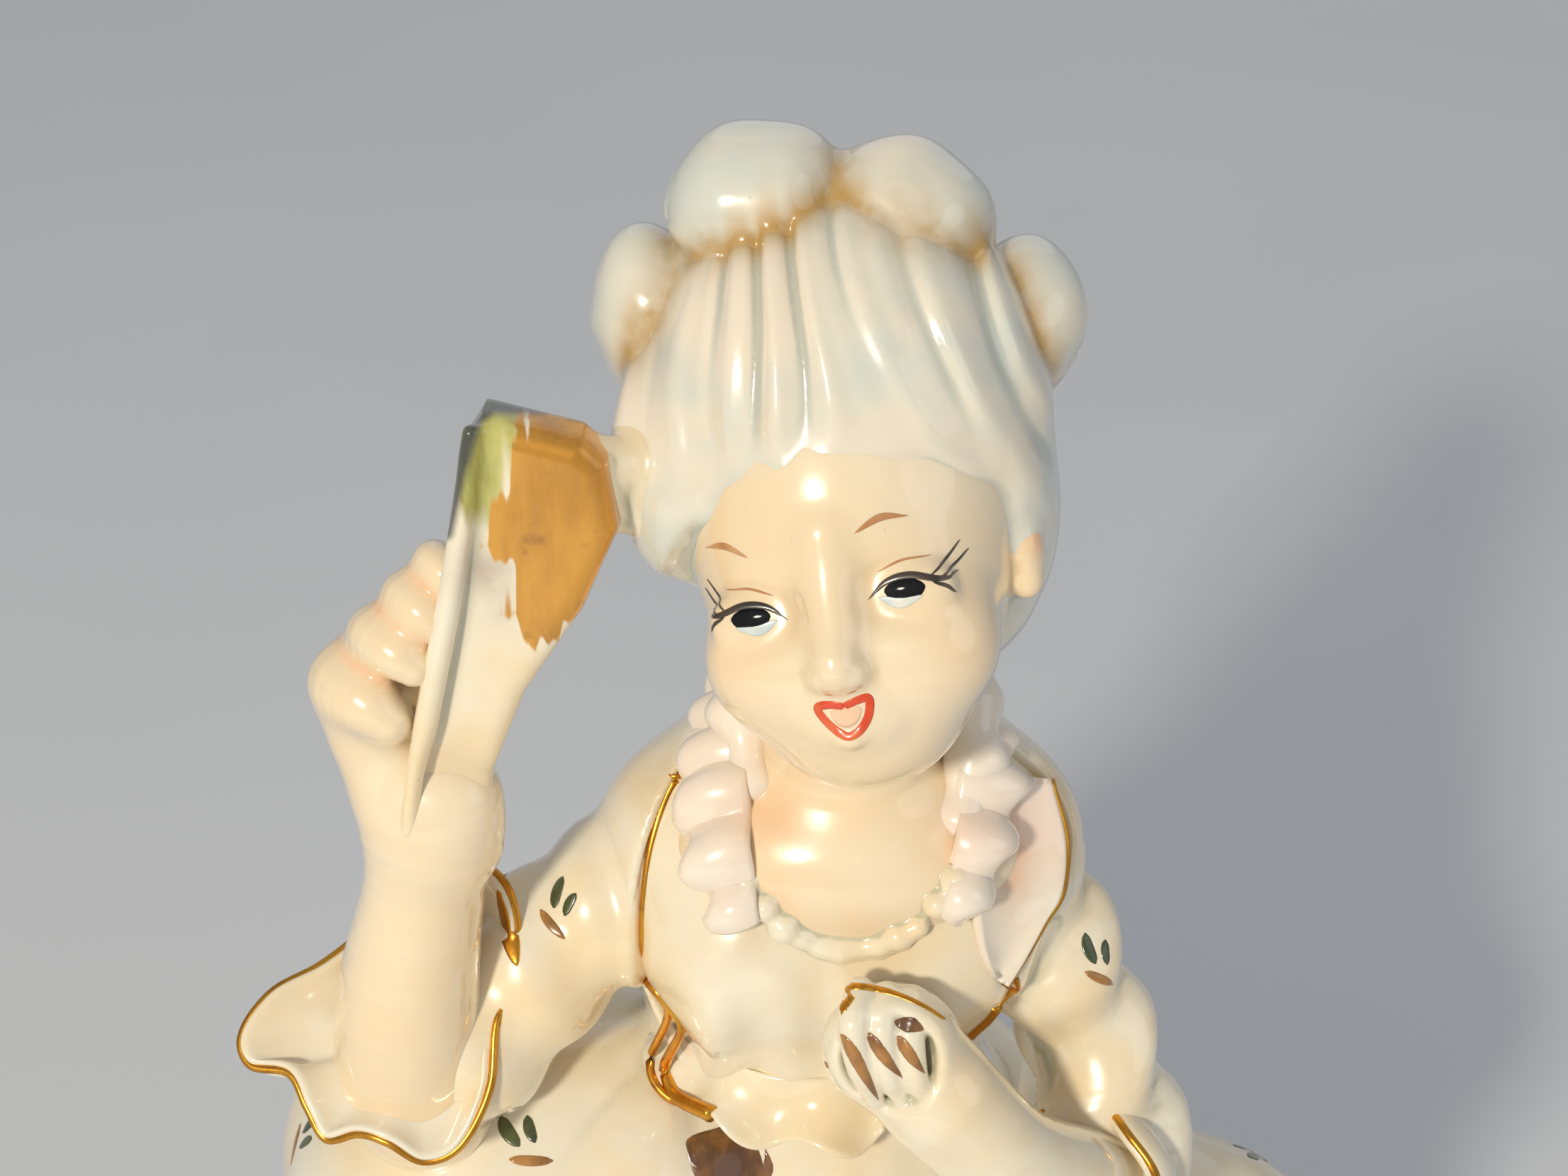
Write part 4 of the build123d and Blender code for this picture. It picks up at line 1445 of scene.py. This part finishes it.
def paint_head(name, rows, width, material, **how):
    """A stroke through (x, z) rows of the head's own frame."""
    points = [at_head(x, -9.0, z) for x, z in rows]
    return brush(name, on_head, points, width, material, toward=HEAD_AXES @ vec(0, 1, 0), **how)


face_paint = []
for s in (-1, 1):
    word = "right" if s < 0 else "left"
    x, z = EYES[s]
    brow_x, brow_z = BROWS[s]
    face_paint += [
        paint_head(
            f"{word}_eye_white",
            ((x - 1.25 * s, z - 0.16), (x - 0.3 * s, z - 0.5), (x + 0.8 * s, z - 0.32)),
            (0.34, 0.56, 0.3), eye_white, height=0.02,
        ),
        paint_head(
            f"{word}_iris", ((x - 0.95, z + 0.1), (x, z + 0.04), (x + 0.95, z + 0.1)),
            (0.95, 1.26, 0.95), black_enamel, height=0.015,
        ),
        paint_head(
            f"{word}_lid_line",
            (
                (x - 1.75 * s, z - 0.2), (x - 0.8 * s, z + 0.5), (x + 0.3 * s, z + 0.66),
                (x + 1.5 * s, z + 0.3), (x + 2.3 * s, z + 0.1),
            ),
            (0.12, 0.3, 0.36, 0.32, 0.2), lash_brown, taper=0.3,
        ),
        paint_head(
            f"{word}_lash_1",
            ((x + 1.2 * s, z + 0.45), (x + 1.9 * s, z + 0.85), (x + 2.5 * s, z + 1.4)), 0.15,
            lash_brown,
        ),
        paint_head(
            f"{word}_lash_2",
            ((x + 1.5 * s, z + 0.25), (x + 2.2 * s, z + 0.45), (x + 2.8 * s, z + 0.85)), 0.14,
            lash_brown,
        ),
        paint_head(
            f"{word}_lash_3", ((x + 1.3 * s, z + 0.2), (x + 1.9 * s, z - 0.15), (x + 2.2 * s, z - 0.6)),
            0.2, lash_brown,
        ),
        paint_head(
            f"{word}_crease", ((x - 1.2 * s, z + 0.95), (x, z + 1.3), (x + 1.3 * s, z + 1.2)), 0.12,
            brow_brown, height=0.015,
        ),
        paint_head(
            f"{word}_brow",
            (
                (brow_x - 1.2 * s, brow_z - 0.35), (brow_x, brow_z + 0.12),
                (brow_x + 1.2 * s, brow_z - 0.1),
            ),
            (0.22, 0.36, 0.14), brow_brown, height=0.02,
        ),
    ]
lips = (
    (0.05, -5.05), (-0.6, -4.9), (-1.25, -5.05), (-0.95, -5.7), (-0.4, -6.3), (0.1, -6.5),
    (0.65, -6.25), (1.1, -5.6), (1.2, -4.85), (0.6, -4.85), (0.05, -5.05),
)
face_paint += [
    paint_head(
        "lip_inside", ((-0.65, -5.3), (0.05, -5.55), (0.8, -5.25)), (0.7, 1.1, 0.7), lip_pale,
        height=0.02,
    ),
    paint_head("lip_outline", lips, 0.42, lip_red, taper=0.02),
    paint_head("right_nostril", ((-0.75, -4.3), (-0.35, -4.35)), 0.16, brow_brown, height=0.01),
    paint_head("left_nostril", ((0.35, -4.35), (0.75, -4.3)), 0.16, brow_brown, height=0.01),
]
piece(join("face_paint", face_paint), slot="skin_glaze")

piece(
    cord(
        "lapel_gilding", lapel_outer + unit(lapel_outer - lapel_inner) * 0.42,
        np.linspace(0.34, 0.26, len(lapel_outer)), gold,
    ),
    slot="gilding",
)

on_hand = tree("left_arm", "bodice")
hand_paint = [
    brush(
        "hand_arc", on_hand,
        (
            (-1.1, -14, 110.8), (-0.5, -14, 111.5), (0.6, -14, 111.85), (2.3, -14, 111.5),
            (3.9, -14, 110.7), (5.2, -14, 109.7),
        ),
        (1.0, 0.6, 0.42, 0.38, 0.34, 0.26), gold, taper=0.06,
    ),
    brush(
        "finger_line_1", on_hand, ((-0.1, -14, 108.7), (0.7, -14, 107.0), (1.9, -14, 104.3)),
        (0.9, 0.75, 0.4), brown_gold,
    ),
    brush(
        "finger_line_2", on_hand, ((1.3, -14, 108.8), (2.0, -14, 107.4), (3.1, -14, 105.8)),
        (0.8, 0.7, 0.35), brown_gold,
    ),
    brush(
        "finger_line_3", on_hand, ((2.8, -14, 108.6), (3.4, -14, 107.4), (4.25, -14, 106.1)),
        (0.8, 0.7, 0.35), brown_gold,
    ),
    brush(
        "finger_shade", on_hand, ((2.6, -14, 109.5), (3.4, -14, 109.35), (4.1, -14, 109.0)),
        (0.6, 0.85, 0.5), umber_painted_shade,
    ),
    brush("hand_dot", on_hand, ((-1.9, -14, 106.4), (-1.5, -14, 106.0)), 0.55, brown_gold),
]
piece(join("hand_paint", hand_paint), slot="gilding")
piece(
    brush(
        "sleeve_gilding", tree("right_sleeve", "right_cuff"),
        ((-18.45, -5, 111.0), (-18.0, -5.5, 109.0), (-17.55, -6, 106.6)), (0.75, 1.05, 0.7), gold,
        taper=0.3,
    ),
    slot="gilding",
)


def edging(name, target, points, radius, material, sink=0.25, steps=8, toward=None):
    """A raised bead of gilding along points that are dropped onto the target, and then evened out."""
    points = np.asarray(points, float)
    toward = points - PAINTER if toward is None else toward
    rows = smooth_path(np.column_stack([points, unit(toward), np.broadcast_to(radius, len(points))]), steps)
    rows = np.column_stack([rows[:, :3], rows[:, 6], rows[:, 3:6]])
    spots = []
    for row in rows:
        spot, normal = land(target, row[:3], unit(row[4:]))
        spots.append(spot - normal * row[3] * sink)
    spots = np.array(spots)
    for _ in range(4):
        spots[1:-1] = 0.5 * spots[1:-1] + 0.25 * (spots[:-2] + spots[2:])
    return cord(name, spots, rows[:, 3], material)


on_dress = tree("jacket", "bodice", "bust", "stomacher_hem")
jacket_gilding = [
    edging(
        "right_edge_gilding", on_dress,
        (
            (-8.6, -4, 118.0), (-9.3, -5, 117.0), (-10.1, -6.5, 114.6), (-10.5, -7, 111.5),
            (-10.6, -7, 108.5), (-10.6, -7, 105.0), (-10.1, -8, 102.7), (-9.3, -9, 100.9),
            (-8.7, -10, 99.0),
        ),
        (0.55, 0.34, 0.22, 0.22, 0.24, 0.3, 0.26, 0.4, 0.5), gold,
    ),
    edging(
        "right_edge_second", on_dress,
        ((-10.6, -7, 104.2), (-10.4, -8, 101.0), (-9.9, -9, 98.0), (-9.4, -10, 95.4)), 0.26, gold,
    ),
    edging(
        "left_edge_gilding", on_dress,
        ((9.0, -9, 105.6), (8.5, -9, 103.4), (7.9, -9, 101.2), (7.4, -9, 99.6)), (0.4, 0.45, 0.55, 0.4),
        gold,
    ),
    edging(
        "left_edge_upper", on_dress, ((9.4, -8, 107.4), (9.6, -8, 106.4), (9.1, -9, 105.4)), 0.18, gold
    ),
    brush(
        "left_edge_wash", on_dress, ((7.4, -9, 103.4), (7.0, -9, 101.6), (6.8, -9, 100.2)),
        (0.6, 1.2, 0.8), brown_gold, taper=0.5, height=0.015,
    ),
    # painted shade in the dark gap under the stomacher hem
    brush(
        "under_hem_painted_shade", tree("bodice", "skirt", "right_pannier"),
        ((-8.4, -9.4, 97.0), (-6.6, -9.6, 96.0), (-5.0, -9.8, 95.6), (-3.6, -10.0, 95.6)),
        (1.8, 3.8, 3.8, 2.4), umber_painted_shade, taper=0.3, height=0.02,
    ),
]
piece(join("jacket_gilding", jacket_gilding), slot="gilding")


def sprig(name, target, place, inward, lean=0.0, size=1.0):
    """Two leaves and a gold-brown stroke, on the surface that inward meets from the place."""
    spot, normal = land(target, np.array(place, float), np.array(inward), 8.0)
    normal = normal if normal @ np.array(inward) < 0 else -normal
    right = unit(np.cross((0, 0, 1), normal) + 1e-6)
    up = np.cross(normal, right)
    right, up = right * cos(lean) + up * sin(lean), up * cos(lean) - right * sin(lean)
    made = []
    for part, (a, b, c), width, paint in (
        ("leaf_a", ((-0.35, 0.2), (-0.42, 1.1), (-0.25, 1.95)), 0.72, leaf_green),
        ("leaf_b", ((0.35, -0.1), (0.5, 0.6), (0.8, 1.2)), 0.58, leaf_green),
        ("bud", ((-1.1, 0.0), (-0.35, -0.65), (0.55, -1.3)), 0.52, brown_gold),
    ):
        rows = [spot + (right * u + up * v) * size for u, v in (a, b, c)]
        made.append(brush(f"{name}_{part}", target, rows, width * size, paint, toward=-normal, steps=4))
    return made


def sprigs(name, source, places, size=1.0):
    """places: (x, y, z, inward x, inward y, inward z, lean)."""
    target = tree(*source)
    made = []
    for i, row in enumerate(places):
        made += sprig(f"{name}_{i}", target, row[:3], unit(np.array(row[3:6], float)), row[6], size)
    piece(join(name, made))


FRONT = (0.0, 0.87, -0.5)
sprigs(
    "right_sleeve_sprigs", ["right_sleeve"],
    (
        (-15.1, -6, 110.2, *FRONT, 0.1), (-13.0, 4, 108.0, 0, -1, -0.2, 0.3),
        (-19.0, -1, 108.0, 0.3, -0.6, -0.7, -0.4),
    ),
)
sprigs(
    "left_sleeve_sprigs", ["left_sleeve"],
    (
        (15.0, -6, 106.3, -0.35, 0.8, -0.4, 0.0), (17.6, -1, 99.0, -1, 0.1, 0, 0.2),
        (13.4, 4.5, 104.0, -0.3, -1, 0, -0.3), (16.5, 2.0, 95.0, -0.6, -0.8, 0, 0.4),
    ),
)
sprigs(
    "jacket_sprigs", ["jacket"],
    (
        (-5.0, 11, 112.0, 0, -1, 0, 0.2), (4.6, 11, 110.0, 0, -1, 0, -0.3),
        (-3.0, 11, 104.0, 0, -1, 0, 0.5), (3.6, 11, 101.0, 0, -1, 0, 0.0),
        (-9.0, 8, 98.0, 0.6, -0.8, 0, 0.2), (8.0, 8, 97.0, -0.6, -0.8, 0, 0.2),
    ),
)
for side, word in ((-1, "right"), (1, "left")):
    drop = PANNIER_DROP[side]
    first = (-17.2, -9, 96.4 - drop, *FRONT, 0.5) if side < 0 else (19.0, -9, 95.4 - drop, *FRONT, 0.2)
    rows = [first]
    for a, z in ((20, 90), (42, 84), (75, 92), (70, 82), (105, 88), (128, 95), (150, 84), (172, 91)):
        direction = vec(side * sin(radians(a)), -cos(radians(a)), 0)
        place = vec(side * 18, -0.5, z - drop) + direction * 15
        rows.append((*place, *(-direction), 0.4 * sin(a)))
    sprigs(f"{word}_pannier_sprigs", [f"{word}_pannier"], rows, 1.15)
    rows = []
    for i, (a, z) in enumerate(
        (
            (44, 66), (52, 44), (70, 56), (74, 34), (92, 66), (98, 44), (116, 58), (122, 34), (138, 68),
            (146, 46), (164, 58), (170, 34),
        )
    ):
        direction = vec(side * sin(radians(a)), -cos(radians(a)), 0)
        place = vec(0, 0, z) + direction * 36
        rows.append((*place, *(-direction), 0.5 * sin(i * 2.3)))
    sprigs(f"{word}_drape_sprigs", [f"{word}_drape"], rows, 1.45)
    target = tree(f"{word}_drape")
    ring = []
    for a in np.linspace(35.2, 178, 90):
        direction = vec(side * sin(radians(a)), -cos(radians(a)), 0)
        ring.append(
            (
                *(direction * 38 + vec(0, 0, 23.6 + 2.4 * abs(sin(radians(a) * 4.0 + 0.35)))),
                *(-direction),
            )
        )
    ring = np.array(ring)
    lines = [edging(f"{word}_drape_hem_line", target, ring[:, :3], 0.4, gold, 0.4, 3, ring[:, 3:])]
    heights = np.linspace(24.5, 84, 28)
    turned = front_edge(heights) + radians(2)
    out = np.stack([side * np.sin(turned), -np.cos(turned), 0 * turned], 1)
    rows = out * 34 + np.column_stack([0 * heights, 0 * heights, heights])
    lines.append(edging(f"{word}_drape_front_line", target, rows, 0.38, gold, 0.4, 4, -out))
    piece(join(f"{word}_drape_gilding", lines), slot="gilding")

a = np.linspace(pi, 3 * pi, 260)
out = np.stack([np.sin(a), -np.cos(a), 0 * a], 1)
piece(edging("base_gilding", tree("base"), out * 48 + (0, 0, 7.2), 0.45, gold, 0.4, 2, -out), slot="gilding")

# ---- floor, lights and camera -------------------------------------------------------------
def plain(name, colour, rough):
    material, nodes, links, bsdf = start_material(name)
    links.new(
        mixed(
            nodes, links, ramp(nodes, links, noise(nodes, links, 6, 3), 0.3, 0.7), colour,
            tuple(0.97 * c for c in colour),
        ),
        bsdf.inputs["Base Color"],
    )
    bsdf.inputs["Roughness"].default_value = rough
    return material


bpy.ops.mesh.primitive_plane_add(size=3.0, location=(0, 0.4, -0.0001))
floor = bpy.context.object
floor.name = "floor"
floor.data.materials.append(plain("floor_paper", (0.70, 0.71, 0.72), 0.8))
floor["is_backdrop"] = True

world = bpy.data.worlds.new("studio")
bpy.context.scene.world = world
world.use_nodes = True
world.node_tree.nodes["Background"].inputs["Color"].default_value = (0.92, 0.95, 1.0, 1)
world.node_tree.nodes["Background"].inputs["Strength"].default_value = 0.38
bpy.context.scene.view_settings.view_transform = "Standard"


def lamp(name, place, target, size, power, colour):
    light = bpy.data.lights.new(name, "AREA")
    light.shape = "DISK"
    light.size, light.energy, light.color = size, power, colour
    holder = bpy.data.objects.new(name, light)
    holder.location = place
    holder.rotation_euler = (Vector(target) - Vector(place)).to_track_quat("-Z", "Y").to_euler()
    bpy.context.scene.collection.objects.link(holder)


lamp("key", (-0.28, -0.62, 0.46), (0, 0, 0.11), 0.08, 4.2, (1.0, 0.93, 0.80))
lamp("fill", (0.70, -0.30, 0.45), (0, 0, 0.10), 0.60, 0.6, (0.90, 0.95, 1.0))
lamp("back", (0.1, 0.75, 0.6), (0, 0, 0.10), 1.0, 0.7, (0.95, 0.97, 1.0))

camera = bpy.data.objects.new("camera", bpy.data.cameras.new("camera"))
camera.data.lens = 53.0
camera.data.sensor_width = 36.0
camera.location = (-0.003, -0.1046, 0.1873)
camera.rotation_euler = (radians(60), 0, 0)
camera.data.clip_start = 0.005
bpy.context.scene.collection.objects.link(camera)
bpy.context.scene.camera = camera

low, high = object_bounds()
